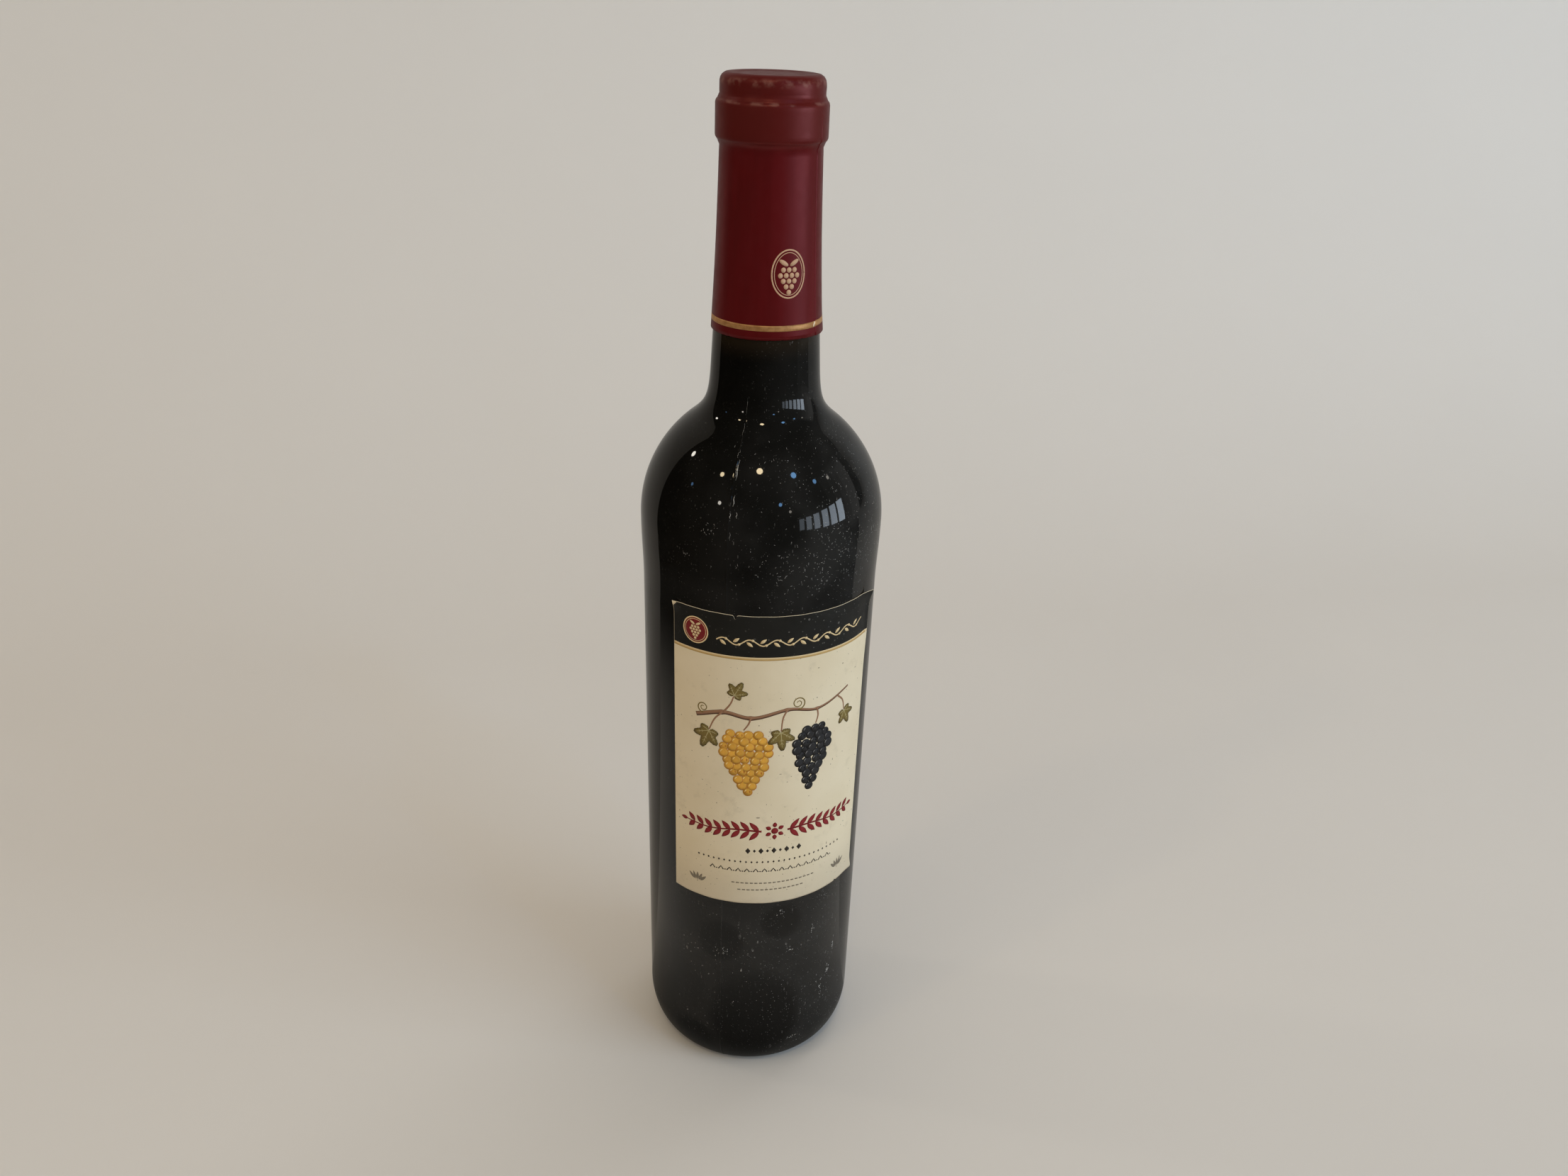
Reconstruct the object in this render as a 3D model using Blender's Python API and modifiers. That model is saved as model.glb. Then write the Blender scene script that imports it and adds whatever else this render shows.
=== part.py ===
"""A sealed 750 ml wine bottle: dark glass, a burgundy capsule over its mouth and one paper label.

Metres, +Z up. The bottle stands on the origin and its label faces -Y.
"""

import math

import bpy

# Whole bottle
HEIGHT = 0.324
SKIN_GAP = 0.0003

# Foot: a shallow punt inside a flat bearing ring, and a heel that swells out to the side
PUNT_DEPTH = 0.008
BEARING_INNER_RADIUS = 0.0235
BEARING_OUTER_RADIUS = 0.0265
HEEL_RADIUS = 0.0357
HEEL_HEIGHT = 0.0155

# Side: tapers gently upwards, then swells to the contact ring under the shoulder
SIDE_TOP_RADIUS = 0.03645
SIDE_TOP_HEIGHT = 0.176
SHOULDER_RADIUS = 0.0371
SHOULDER_HEIGHT = 0.198
SWELL_PULL = 0.009

# Shoulder: one round arc, then a reverse curve up into the neck
SHOULDER_ARC_RADIUS = 0.03885
SHOULDER_ARC_TURN = math.radians(51.5)
SHOULDER_PULL = 0.008
NECK_PULL = 0.0147

# Neck: tapers up to the ring below the mouth
NECK_BASE_RADIUS = 0.01576
NECK_BASE_HEIGHT = 0.2506
NECK_BASE_TAPER = 0.052
NECK_BASE_PULL = 0.021
NECK_TOP_RADIUS = 0.01368
NECK_TOP_HEIGHT = 0.3056
NECK_TOP_TAPER = 0.02
NECK_TOP_PULL = 0.028

# Finish: the ring and the mouth above it
RING_RADIUS = 0.0149
RING_BOTTOM_HEIGHT = 0.3073
RING_TOP_HEIGHT = 0.3171
RING_ROUND = 0.0009
RING_ROUND_TURN = math.radians(60)
MOUTH_RADIUS = 0.01378
MOUTH_STEP = 0.0014
MOUTH_ROUND = 0.0017

# Capsule: a thin sleeve with a closed top
CAPSULE_THICKNESS = 0.0003
CAPSULE_BOTTOM_HEIGHT = 0.2552

# Label: one thin sheet wrapped round the side
LABEL_WIDTH = 0.0692
LABEL_BOTTOM_HEIGHT = 0.0746
LABEL_TOP_HEIGHT = 0.1795
LABEL_THICKNESS = 0.0002

# Fineness of the turned shapes: steps round the axis, then steps along each stretch of profile
TURN_STEPS = 48
LABEL_STEPS = 16
MOUTH_STEPS = 4
RING_STEPS = 2
NECK_STEPS = 8
REVERSE_CURVE_STEPS = 11
SHOULDER_STEPS = 8
SWELL_STEPS = 5
HEEL_STEPS = 7
PUNT_STEPS = 6
MERGE_DISTANCE = 0.00001

FULL_TURN = math.tau
GLASS_TOP_HEIGHT = HEIGHT - CAPSULE_THICKNESS - SKIN_GAP


def clear_scene():
    for scene_object in list(bpy.data.objects):
        bpy.data.objects.remove(scene_object, do_unlink=True)


def make_collection(name):
    collection = bpy.data.collections.new(name)
    bpy.context.scene.collection.children.link(collection)
    return collection


def make_material(name, color, roughness):
    material = bpy.data.materials.new(name)
    material.use_nodes = True
    material.diffuse_color = (*color, 1.0)
    shader = material.node_tree.nodes["Principled BSDF"]
    shader.inputs["Base Color"].default_value = (*color, 1.0)
    shader.inputs["Roughness"].default_value = roughness
    return material


def ellipse_arc(center, half_width, half_height, start, end, steps):
    """Points (radius, height) on an ellipse, from one angle above the horizontal to another."""
    points = []
    for step in range(steps + 1):
        angle = start + (end - start) * step / steps
        radius = center[0] + half_width * math.cos(angle)
        height = center[1] + half_height * math.sin(angle)
        points.append((radius, height))
    return points


def bezier(start, start_slope, start_pull, end, end_slope, end_pull, steps):
    """A cubic curve that falls from start to end; a slope is the radius gained per height lost."""
    start_length = math.hypot(start_slope, 1.0)
    end_length = math.hypot(end_slope, 1.0)
    leave = (
        start[0] + start_pull * start_slope / start_length,
        start[1] - start_pull / start_length,
    )
    arrive = (
        end[0] - end_pull * end_slope / end_length,
        end[1] + end_pull / end_length,
    )
    points = []
    for step in range(steps + 1):
        t = step / steps
        weights = ((1 - t) ** 3, 3 * t * (1 - t) ** 2, 3 * t * t * (1 - t), t ** 3)
        knots = (start, leave, arrive, end)
        radius = sum(weight * knot[0] for weight, knot in zip(weights, knots))
        height = sum(weight * knot[1] for weight, knot in zip(weights, knots))
        points.append((radius, height))
    return points


def finish_profile():
    """The mouth and the ring below it, from the middle of the top down to the neck."""
    points = [(0.0, GLASS_TOP_HEIGHT)]
    mouth_center = (MOUTH_RADIUS - MOUTH_ROUND, GLASS_TOP_HEIGHT - MOUTH_ROUND)
    points += ellipse_arc(
        mouth_center, MOUTH_ROUND, MOUTH_ROUND, math.pi / 2, 0.0, MOUTH_STEPS
    )
    points.append((MOUTH_RADIUS, RING_TOP_HEIGHT + MOUTH_STEP))
    upper_round = (RING_RADIUS - RING_ROUND, RING_TOP_HEIGHT - RING_ROUND)
    points += ellipse_arc(
        upper_round, RING_ROUND, RING_ROUND, RING_ROUND_TURN, 0.0, RING_STEPS
    )
    lower_round = (RING_RADIUS - RING_ROUND, RING_BOTTOM_HEIGHT + RING_ROUND)
    points += ellipse_arc(
        lower_round, RING_ROUND, RING_ROUND, 0.0, -RING_ROUND_TURN, RING_STEPS
    )
    return points


def neck_profile():
    return bezier(
        (NECK_TOP_RADIUS, NECK_TOP_HEIGHT),
        NECK_TOP_TAPER,
        NECK_TOP_PULL,
        (NECK_BASE_RADIUS, NECK_BASE_HEIGHT),
        NECK_BASE_TAPER,
        NECK_BASE_PULL,
        NECK_STEPS,
    )


def shoulder_profile():
    """The reverse curve out of the neck, then the round of the shoulder down to its widest."""
    arc_center = (SHOULDER_RADIUS - SHOULDER_ARC_RADIUS, SHOULDER_HEIGHT)
    arc = ellipse_arc(
        arc_center,
        SHOULDER_ARC_RADIUS,
        SHOULDER_ARC_RADIUS,
        SHOULDER_ARC_TURN,
        0.0,
        SHOULDER_STEPS,
    )
    reverse_curve = bezier(
        (NECK_BASE_RADIUS, NECK_BASE_HEIGHT),
        NECK_BASE_TAPER,
        NECK_PULL,
        arc[0],
        math.tan(SHOULDER_ARC_TURN),
        SHOULDER_PULL,
        REVERSE_CURVE_STEPS,
    )
    return reverse_curve[1:] + arc[1:]


def side_profile():
    """From the widest of the shoulder to the top of the heel."""
    taper = (HEEL_RADIUS - SIDE_TOP_RADIUS) / (SIDE_TOP_HEIGHT - HEEL_HEIGHT)
    swell = bezier(
        (SHOULDER_RADIUS, SHOULDER_HEIGHT),
        0.0,
        SWELL_PULL,
        (SIDE_TOP_RADIUS, SIDE_TOP_HEIGHT),
        taper,
        SWELL_PULL,
        SWELL_STEPS,
    )
    return swell[1:]


def foot_profile():
    """The heel, the flat bearing ring and the domed punt, in to the middle."""
    heel_center = (BEARING_OUTER_RADIUS, HEEL_HEIGHT)
    heel_width = HEEL_RADIUS - BEARING_OUTER_RADIUS
    points = ellipse_arc(
        heel_center, heel_width, HEEL_HEIGHT, 0.0, -math.pi / 2, HEEL_STEPS
    )
    points += ellipse_arc(
        (0.0, 0.0), BEARING_INNER_RADIUS, PUNT_DEPTH, 0.0, math.pi / 2, PUNT_STEPS
    )
    points[-1] = (0.0, PUNT_DEPTH)
    return points


def offset_profile(points, distance):
    """The same profile moved outwards by a distance, each point along its own normal."""
    moved = []
    last = len(points) - 1
    for index, (radius, height) in enumerate(points):
        before = points[max(index - 1, 0)]
        after = points[min(index + 1, last)]
        run = after[0] - before[0]
        fall = before[1] - after[1]
        length = math.hypot(run, fall)
        moved.append((radius + distance * fall / length, height + distance * run / length))
    if points[0][0] == 0.0:
        moved[0] = (0.0, points[0][1] + distance)
    return moved


def radius_at(profile, height):
    """The profile's radius at a height, between its two nearest points."""
    for (upper_radius, upper_height), (lower_radius, lower_height) in zip(profile, profile[1:]):
        if upper_height >= height > lower_height:
            share = (upper_height - height) / (upper_height - lower_height)
            return upper_radius + (lower_radius - upper_radius) * share
    raise ValueError("height is off the profile")


def turned_object(name, profile, material, collection, angle=FULL_TURN, steps=TURN_STEPS):
    """A profile of (radius, height) points turned about Z."""
    mesh = bpy.data.meshes.new(name)
    vertices = [(radius, 0.0, height) for radius, height in profile]
    edges = [(index, index + 1) for index in range(len(profile) - 1)]
    mesh.from_pydata(vertices, edges, [])
    mesh.materials.append(material)
    turned = bpy.data.objects.new(name, mesh)
    collection.objects.link(turned)
    screw = turned.modifiers.new("Turn", "SCREW")
    screw.axis = "Z"
    screw.angle = angle
    screw.steps = steps
    screw.render_steps = steps
    screw.use_merge_vertices = True
    screw.merge_threshold = MERGE_DISTANCE
    screw.use_smooth_shade = True
    return turned


def add_thickness(skin, thickness):
    """Thickens an open skin outwards."""
    solidify = skin.modifiers.new("Thickness", "SOLIDIFY")
    solidify.thickness = thickness
    solidify.offset = 1.0
    solidify.use_even_offset = True


def make_bottle(glass_profile, collection):
    material = make_material("dark_glass", (0.008, 0.008, 0.006), 0.06)
    return turned_object("bottle", glass_profile, material, collection)


def make_capsule(glass_profile, collection):
    """A sleeve that follows the mouth, the ring and the neck."""
    material = make_material("burgundy_foil", (0.16, 0.012, 0.025), 0.38)
    covered = [point for point in glass_profile if point[1] > CAPSULE_BOTTOM_HEIGHT]
    bottom_radius = radius_at(glass_profile, CAPSULE_BOTTOM_HEIGHT)
    covered.append((bottom_radius, CAPSULE_BOTTOM_HEIGHT))
    capsule = turned_object(
        "capsule", offset_profile(covered, SKIN_GAP), material, collection
    )
    add_thickness(capsule, CAPSULE_THICKNESS)
    return capsule


def make_label(glass_profile, collection):
    """A rectangle of paper bent round the side, its middle turned to -Y."""
    material = make_material("cream_paper", (0.62, 0.56, 0.42), 0.62)
    covered = [(radius_at(glass_profile, LABEL_TOP_HEIGHT), LABEL_TOP_HEIGHT)]
    covered += [
        point for point in glass_profile
        if LABEL_BOTTOM_HEIGHT < point[1] < LABEL_TOP_HEIGHT
    ]
    bottom_radius = radius_at(glass_profile, LABEL_BOTTOM_HEIGHT)
    covered.append((bottom_radius, LABEL_BOTTOM_HEIGHT))
    wrap_angle = LABEL_WIDTH / SIDE_TOP_RADIUS
    label = turned_object(
        "label", offset_profile(covered, SKIN_GAP), material, collection, wrap_angle, LABEL_STEPS
    )
    label.rotation_euler.z = -math.pi / 2 - wrap_angle / 2
    add_thickness(label, LABEL_THICKNESS)
    return label


def main():
    clear_scene()
    collection = make_collection("wine_bottle")
    glass_profile = finish_profile() + neck_profile() + shoulder_profile()
    glass_profile += side_profile() + foot_profile()
    make_bottle(glass_profile, collection)
    make_capsule(glass_profile, collection)
    make_label(glass_profile, collection)


main()
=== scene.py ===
"""The looks of a sealed wine bottle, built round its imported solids. Metres, +Z up, the label faces -Y."""

import random
from math import cos, dist, hypot, pi, radians, sin, tan, tau

import bpy
import numpy as np
from mathutils import Matrix, Vector

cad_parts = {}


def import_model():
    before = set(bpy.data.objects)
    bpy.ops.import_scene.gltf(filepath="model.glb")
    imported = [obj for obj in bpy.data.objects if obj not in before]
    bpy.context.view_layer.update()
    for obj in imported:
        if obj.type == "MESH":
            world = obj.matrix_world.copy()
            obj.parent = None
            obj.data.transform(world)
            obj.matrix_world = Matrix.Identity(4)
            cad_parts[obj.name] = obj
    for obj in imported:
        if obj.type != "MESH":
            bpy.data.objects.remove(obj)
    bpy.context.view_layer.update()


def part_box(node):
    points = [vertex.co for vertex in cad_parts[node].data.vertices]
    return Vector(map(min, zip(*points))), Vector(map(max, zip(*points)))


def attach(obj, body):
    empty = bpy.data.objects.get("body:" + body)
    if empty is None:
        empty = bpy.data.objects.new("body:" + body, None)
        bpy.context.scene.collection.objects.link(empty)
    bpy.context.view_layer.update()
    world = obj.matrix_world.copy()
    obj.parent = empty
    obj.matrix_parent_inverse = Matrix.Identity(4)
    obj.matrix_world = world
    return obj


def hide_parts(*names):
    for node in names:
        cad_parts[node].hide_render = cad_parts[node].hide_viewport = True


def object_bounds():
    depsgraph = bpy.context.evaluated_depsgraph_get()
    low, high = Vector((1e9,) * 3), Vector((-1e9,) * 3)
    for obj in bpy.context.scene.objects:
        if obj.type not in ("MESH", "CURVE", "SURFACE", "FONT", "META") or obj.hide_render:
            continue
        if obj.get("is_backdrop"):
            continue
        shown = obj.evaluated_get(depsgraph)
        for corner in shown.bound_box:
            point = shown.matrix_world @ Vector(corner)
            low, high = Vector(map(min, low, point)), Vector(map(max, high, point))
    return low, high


MM = 0.001

# Profile of the glass, the same driving sizes as the solids
PUNT_DEPTH = 0.008
BEARING_INNER_RADIUS = 0.0235
BEARING_OUTER_RADIUS = 0.0265
HEEL_RADIUS = 0.0357
HEEL_HEIGHT = 0.0155
SIDE_TOP_RADIUS = 0.03645
SIDE_TOP_HEIGHT = 0.176
SHOULDER_RADIUS = 0.0371
SHOULDER_HEIGHT = 0.198
SWELL_PULL = 0.009
SHOULDER_ARC_RADIUS = 0.03885
SHOULDER_ARC_TURN = radians(51.5)
SHOULDER_PULL = 0.008
NECK_PULL = 0.0147
NECK_BASE_RADIUS = 0.01576
NECK_BASE_HEIGHT = 0.2506
NECK_BASE_TAPER = 0.052
NECK_BASE_PULL = 0.021
NECK_TOP_RADIUS = 0.01368
NECK_TOP_HEIGHT = 0.3056
NECK_TOP_TAPER = 0.02
NECK_TOP_PULL = 0.028
RING_RADIUS = 0.0149
RING_BOTTOM_HEIGHT = 0.3073
RING_TOP_HEIGHT = 0.3171
RING_ROUND = 0.0009
MOUTH_RADIUS = 0.01378
MOUTH_STEP = 0.0014
MOUTH_ROUND = 0.0017
POINTS_PER_MM = 0.9

# Glass: mould seams, the slight waviness of blown glass and the grip marks on the bearing ring
SEAM_BEARINGS = (radians(-26), radians(154))
SEAM_HEIGHT = 0.17 * MM
SEAM_WIDTH = 0.2 * MM
WAVE_HEIGHT = 0.006 * MM
GRIP_MARKS = 72
GRIP_DEPTH = 0.18 * MM
GLASS_COLUMNS = 216

# Marks on the glass. A patch is its bearing, height and reach; a cluster of scuffs or lint is its
# bearing, height, spread both ways, count and size; a painted glint is its bearing, its ends and its width
# Patches wiped clean of the film; the first two, low at the front, are painted shade, the dark reflection at
# the foot
CLEAN_AND_SHADE_PATCHES = (
    (-8, 21, 17), (-6, 29, 17), (-27, 57, 9), (-43, 11, 9), (6, 66, 8), (68, 30, 9), (120, 40, 10),
    (175, 24, 12), (-105, 34, 9), (-140, 60, 8),
)
SCUFFS = (
    (-25, 53, 3.4, 2.6, 20, 0.36), (-15, 46, 0.2, 0.5, 3, 0.52), (-20, 31, 0.7, 0.9, 3, 0.32),
    (5, 69, 1.6, 2.4, 9, 0.36), (11, 53, 1.8, 0.6, 5, 0.34), (25, 60, 1.0, 3.0, 12, 0.36),
    (42, 46, 0.8, 3.2, 16, 0.42), (38, 36, 0.8, 3.4, 18, 0.44), (33, 29, 0.9, 3.6, 15, 0.42),
    (15, 13, 2.6, 1.0, 11, 0.30), (29, 70, 4.0, 3.6, 14, 0.20), (-42, 51, 0.3, 0.3, 1, 0.34),
    (0, 50, 20.0, 16.0, 80, 0.17), (20, 35, 0.4, 0.4, 1, 0.30), (172, 42, 9.0, 10.0, 16, 0.24),
    (-112, 52, 7.0, 9.0, 12, 0.24), (104, 44, 7.0, 11.0, 16, 0.26),
)
LINT = (
    (-35, 205, 3.0, 2.6, 16, 0.6), (-46, 196, 1.6, 1.2, 7, 0.6), (28, 198, 16.0, 14.0, 120, 0.8),
    (6, 193, 20.0, 8.0, 60, 0.8), (0, 222, 16.0, 12.0, 30, 0.7), (36, 214, 12.0, 12.0, 40, 0.7),
    (16, 254, 0.9, 0.7, 3, 1.2), (75, 196, 12.0, 12.0, 24, 0.7), (-120, 200, 14.0, 12.0, 14, 0.7),
    (165, 204, 16.0, 12.0, 20, 0.7), (28, 120, 3.0, 40.0, 10, 0.7),
)
# Painted highlights on the seam: pale strokes that stand in for lamp light caught on its ridge
SEAM_PAINTED_GLINTS = (
    (-27.6, 234.0, 239.0, 0.04), (-27.2, 229.0, 232.0, 0.06), (-25.8, 225.0, 227.2, 0.05),
    (-24.8, 219.0, 224.0, 0.16), (-25.4, 219.8, 222.4, 0.12), (-24.4, 212.4, 215.4, 0.14),
    (-25.4, 209.0, 210.6, 0.12), (-22.4, 209.4, 211.0, 0.12), (-24.8, 203.0, 205.4, 0.05),
)
MARK_SEED = 7
PAPER_SPECKS = 170

# Heights between which a surface changes, and the two edges of the sleeve that are worn and carry painted
# highlights
NECK_GLOW_SPAN = (0.248, 0.2585)
THIN_FILM_SPAN = (0.225, 0.245)
FILM_SPAN = (0.09, 0.13)
DULL_START_SPAN = (0.004, 0.012)
DULL_END_SPAN = (0.070, 0.084)
RUBBED_END_SPAN = (0.064, 0.078)
SLEEVE_DULL_SPAN = (0.3045, 0.3085)
MOUTH_EDGE_BAND = (0.3206, 0.3222, 0.3236)
RING_EDGE_BAND = (0.3164, 0.3171, 0.3178)
PAPER_PAINTED_SHADE_SPAN = (0.072, 0.096)

# Capsule. A crease is its bearing in radians, its height, slant and depth
CAPSULE_RISE = 0.6 * MM
CAPSULE_THICKNESS = 0.35 * MM
CAPSULE_COLUMNS = 264
OVERLAP_BEARING = radians(48)
OVERLAP_STEP = 0.14 * MM
OVERLAP_FADE = radians(22)
FLARE_BEARING = radians(75)
FLARE_RISE = 0.22 * MM
TOP_RECESS_RADIUS = 10.4 * MM
TOP_RECESS_DEPTH = 0.3 * MM
CREASES = (
    (-0.1, 321.0, -1.1, 0.14), (0.55, 319.6, -1.6, 0.11), (-0.9, 319.4, 1.0, 0.09),
    (1.7, 320.2, -1.4, 0.12), (2.7, 319.8, 1.3, 0.10), (-2.2, 320.6, -1.2, 0.12),
)
EDGE_NICK_BEARINGS = (-0.9, -0.32, 0.1, 0.47, 1.6, 2.8)
GOLD_LINE_BOTTOM = 257.9 * MM
GOLD_LINE_TOP = 259.5 * MM
MEDALLION_BEARING = radians(11.4)
MEDALLION_HEIGHT = 273.6 * MM

# Label
PAPER_THICKNESS = 0.16 * MM
PAPER_RISE = 0.3 * MM
LABEL_WIDTH = 69.2 * MM
LABEL_BEND_RADIUS = 36.45 * MM
BAND_BOTTOM = 165.9 * MM
PRINT_MARGIN = 0.08 * MM
NICK_ACROSS = -13.8 * MM
TEAR_ACROSS = 24.8 * MM
INK_BASE = 0.01 * MM
INK_LAYER = 0.004 * MM
INK_THICKNESS = 0.006 * MM

# Rows of print, in mm above the table
BAND_LEVEL = 172.2
GARLAND_LEVEL = 103.2
LOZENGE_LEVEL = 95.6
DOT_LEVEL = 91.2
ZIGZAG_LEVEL = 87.3
FINE_ROWS = ((82.9, 13.5), (80.2, 11.5))
CORNER_LEVEL = 80.2

# Print on the band, in mm from the middle of the label
BADGE_ACROSS = -26.4
SCROLL_START = -19.4
SCROLL_END = 30.2
SCROLL_PITCH = 8.0

# Colours of the surfaces
BLACK_GLASS = (0.0026, 0.0025, 0.0020)
NECK_GLASS = (0.0200, 0.0130, 0.0065)
GLASS_DUST_AND_PAINTED_LIGHT = (0.62, 0.59, 0.55)
BURGUNDY = (0.104, 0.0045, 0.0052)
BURGUNDY_LIGHT = (0.123, 0.0058, 0.0071)
BURGUNDY_DULL = (0.112, 0.0125, 0.0095)
BURGUNDY_WORN_AND_GLINT = (0.40, 0.21, 0.16)
GOLD_DEEP = (0.42, 0.200, 0.066)
GOLD_LIGHT = (0.58, 0.30, 0.112)
CREAM = (0.700, 0.590, 0.405)
CREAM_LIGHT = (0.740, 0.632, 0.448)
PAPER_STAIN = (0.45, 0.37, 0.25)
PAPER_FIBRE = (0.20, 0.15, 0.10)
PAPER_PAINTED_SHADE = (0.47, 0.40, 0.30)
INK_WORN = (0.66, 0.56, 0.40)
MARK_GAP = (0.03, 0.029, 0.026)
BLACK_INK = (0.0095, 0.0088, 0.0068)
BLACK_INK_DUST_AND_PAINTED_LIGHT = (0.60, 0.56, 0.50)
PALE_STAGE = (0.668, 0.636, 0.594)

# Colours of the print and the marks
CHALK_AND_GLINT = (0.62, 0.60, 0.56)
CHALK_DIM = (0.30, 0.29, 0.27)
LINT_COLOR = (0.46, 0.44, 0.41)
SPECK = (0.21, 0.165, 0.115)
SPECK_RIM = (0.36, 0.30, 0.21)
GOLDEN = (0.74, 0.375, 0.050)
AMBER = (0.46, 0.165, 0.020)
PALE_GOLD = (0.86, 0.62, 0.24)
NIGHT = (0.026, 0.025, 0.026)
NIGHT_RIM = (0.006, 0.006, 0.006)
NIGHT_LIGHT = (0.20, 0.19, 0.18)
LEAF = (0.200, 0.140, 0.036)
LEAF_RIM = (0.085, 0.058, 0.014)
LEAF_VEIN = (0.43, 0.36, 0.17)
CANE = (0.30, 0.155, 0.085)
CANE_DARK = (0.105, 0.045, 0.025)
CRIMSON = (0.185, 0.0080, 0.0105)
CRIMSON_LIGHT = (0.255, 0.016, 0.020)
SOOT = (0.030, 0.022, 0.016)
STONE = (0.20, 0.165, 0.115)
OCHRE = (0.50, 0.32, 0.115)
PALE_LINE = (0.70, 0.53, 0.29)
ROSE_GOLD = (0.54, 0.33, 0.20)
GOLD_GLINT_PAINT = (0.90, 0.74, 0.52)

# Camera, by the way it stood to the bottle: its bearing is counted from the middle of the label
CAMERA_BEARING = radians(-11.1)
CAMERA_DISTANCE = 0.3667
CAMERA_HEIGHT = 0.3471
CAMERA_PAN = radians(1.233)
CAMERA_TILT = radians(25.593)
CAMERA_ROLL = radians(2.107)
SENSOR_WIDTH = 36.0
FOCAL_LENGTH = 29.29

# Stage and light of the room
STAGE_REACH = 3.4
TABLE_FADE_START = 0.20
TABLE_FADE_END = 0.39
# Within these reaches of the foot the reflected table is dimmed: a painted contact shadow
TABLE_NEAR_START = 0.040
TABLE_NEAR_END = 0.095
TABLE_NEAR_SHARE = 0.3
TABLE_COPY_STEP = 0.1 * MM
REFLECTED_STEP = 1.0 * MM
REFLECTED_SHARE = 0.6
WALL_START_BEARING = radians(-121)
SWEEP_START = 0.30
SWEEP_RADIUS = 0.55
WALL_TOP = 1.9
AIM_HEIGHT = 0.2
ROOM_LIGHT = (0.50, 0.44, 0.37, 1.0)
ROOM_STRENGTH = 0.56

# Panels that light the bottle and don't mirror in it: bearing and rise in degrees, distance, width,
# height, power and colour. The glows and the windows beside them do mirror in the glass
PANELS = {
    "soft_key": (62, 24, 2.3, 1.4, 1.2, 16.2, (0.62, 0.82, 1.0)),
    "soft_left": (-48, 34, 2.2, 1.4, 1.2, 3.4, (1.0, 0.88, 0.70)),
    "soft_top": (20, 82, 1.9, 1.8, 1.8, 7.0, (1.0, 0.94, 0.85)),
    "soft_back": (150, 50, 1.9, 1.2, 1.2, 7.5, (0.95, 0.96, 1.0)),
}
SIDE_GLOWS = ((99, 0.5), (96, 0.8), (92, 1.15), (87, 1.5))
GLOW_COLOR = (1.0, 0.98, 0.95)
WINDOW_BEARINGS = (38, 45, 53, 62, 71, 80)
WINDOW_DEPTH = 2.5
WINDOW_COLOR = (0.74, 0.86, 1.0)
LAMP_DISTANCE = 2.4

# Lamps, each its bearing and rise in degrees, its colour, radius and power
WARM = (1.0, 0.80, 0.50)
WHITE = (1.0, 0.93, 0.82)
BLUE = (0.25, 0.55, 1.0)
LAMPS = (
    (-4, 54, WARM, 0.115, 17.0), (-52, 42, WARM, 0.08, 7.0), (-102, 34, WHITE, 0.08, 6.0),
    (-42, 20, WHITE, 0.065, 3.0), (42, 46, BLUE, 0.105, 7.0), (63, 34, BLUE, 0.075, 2.6),
    (19, 24, BLUE, 0.065, 2.0), (28, 17, WHITE, 0.05, 0.6), (80, 30, WHITE, 0.06, 0.9),
    (-78, 22, BLUE, 0.05, 0.5),
)


# Small helpers

def smooth_step(value, low, high):
    """0 below low, 1 above high and an even S between them."""
    share = np.clip((value - low) / (high - low), 0.0, 1.0)
    return share * share * (3.0 - 2.0 * share)


def hump(value, middle, width):
    """A bell of height 1."""
    return np.exp(-(((value - middle) / width) ** 2))


def turn_difference(bearing, middle):
    """The signed angle from one bearing to another, within half a turn."""
    return (bearing - middle + pi) % tau - pi


def shaded(color, share):
    return tuple(share * part for part in color)


def around(radius, bearing, height):
    """Points at a radius and height, the bearing counted from -Y towards +X."""
    parts = (radius * np.sin(bearing), -radius * np.cos(bearing), height + 0.0 * bearing)
    return np.stack(parts, axis=-1)


def oval(wide, high, angles):
    """Flat points of an oval, or of any outline whose reach changes with the angle."""
    return np.stack((wide * np.cos(angles), high * np.sin(angles)), axis=-1)


def grid_faces(rows, columns, wrap=False):
    """Quads of a grid of points, row after row, facing the side where rows fall and columns rise."""
    faces = []
    for row in range(rows - 1):
        here, below = row * columns, (row + 1) * columns
        for column in range(columns if wrap else columns - 1):
            right = (column + 1) % columns
            faces.append((here + column, below + column, below + right, here + right))
    return faces


def close_ends(points, faces, rows, columns, heights):
    """A point on the axis at each end of a grid that goes all the way round, with its fan."""
    end, start = rows * columns, (rows - 1) * columns
    for column in range(columns):
        right = (column + 1) % columns
        faces += [(end, column, right), (end + 1, start + right, start + column)]
    return np.vstack((points, [(0.0, 0.0, height) for height in heights]))


def new_object(name, points, faces, material):
    mesh = bpy.data.meshes.new(name)
    mesh.from_pydata([tuple(point) for point in points], [], faces)
    mesh.materials.append(material)
    mesh.validate()
    mesh.shade_smooth()
    made = bpy.data.objects.new(name, mesh)
    bpy.context.scene.collection.objects.link(made)
    return made


def thickened(made):
    """The piece with the thickness of ink, which grows inwards."""
    solid = made.modifiers.new("Ink thickness", "SOLIDIFY")
    solid.thickness = INK_THICKNESS
    solid.offset = -1.0
    return made


# Profile of the glass, as points of a radius and a height

def curve_steps(length):
    return max(3, int(length / MM * POINTS_PER_MM) + 1)


def ellipse_arc(center, half_width, half_height, start, end):
    steps = curve_steps(max(half_width, half_height) * abs(end - start) * 1.6)
    return list(center + oval(half_width, half_height, np.linspace(start, end, steps + 1)))


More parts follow.
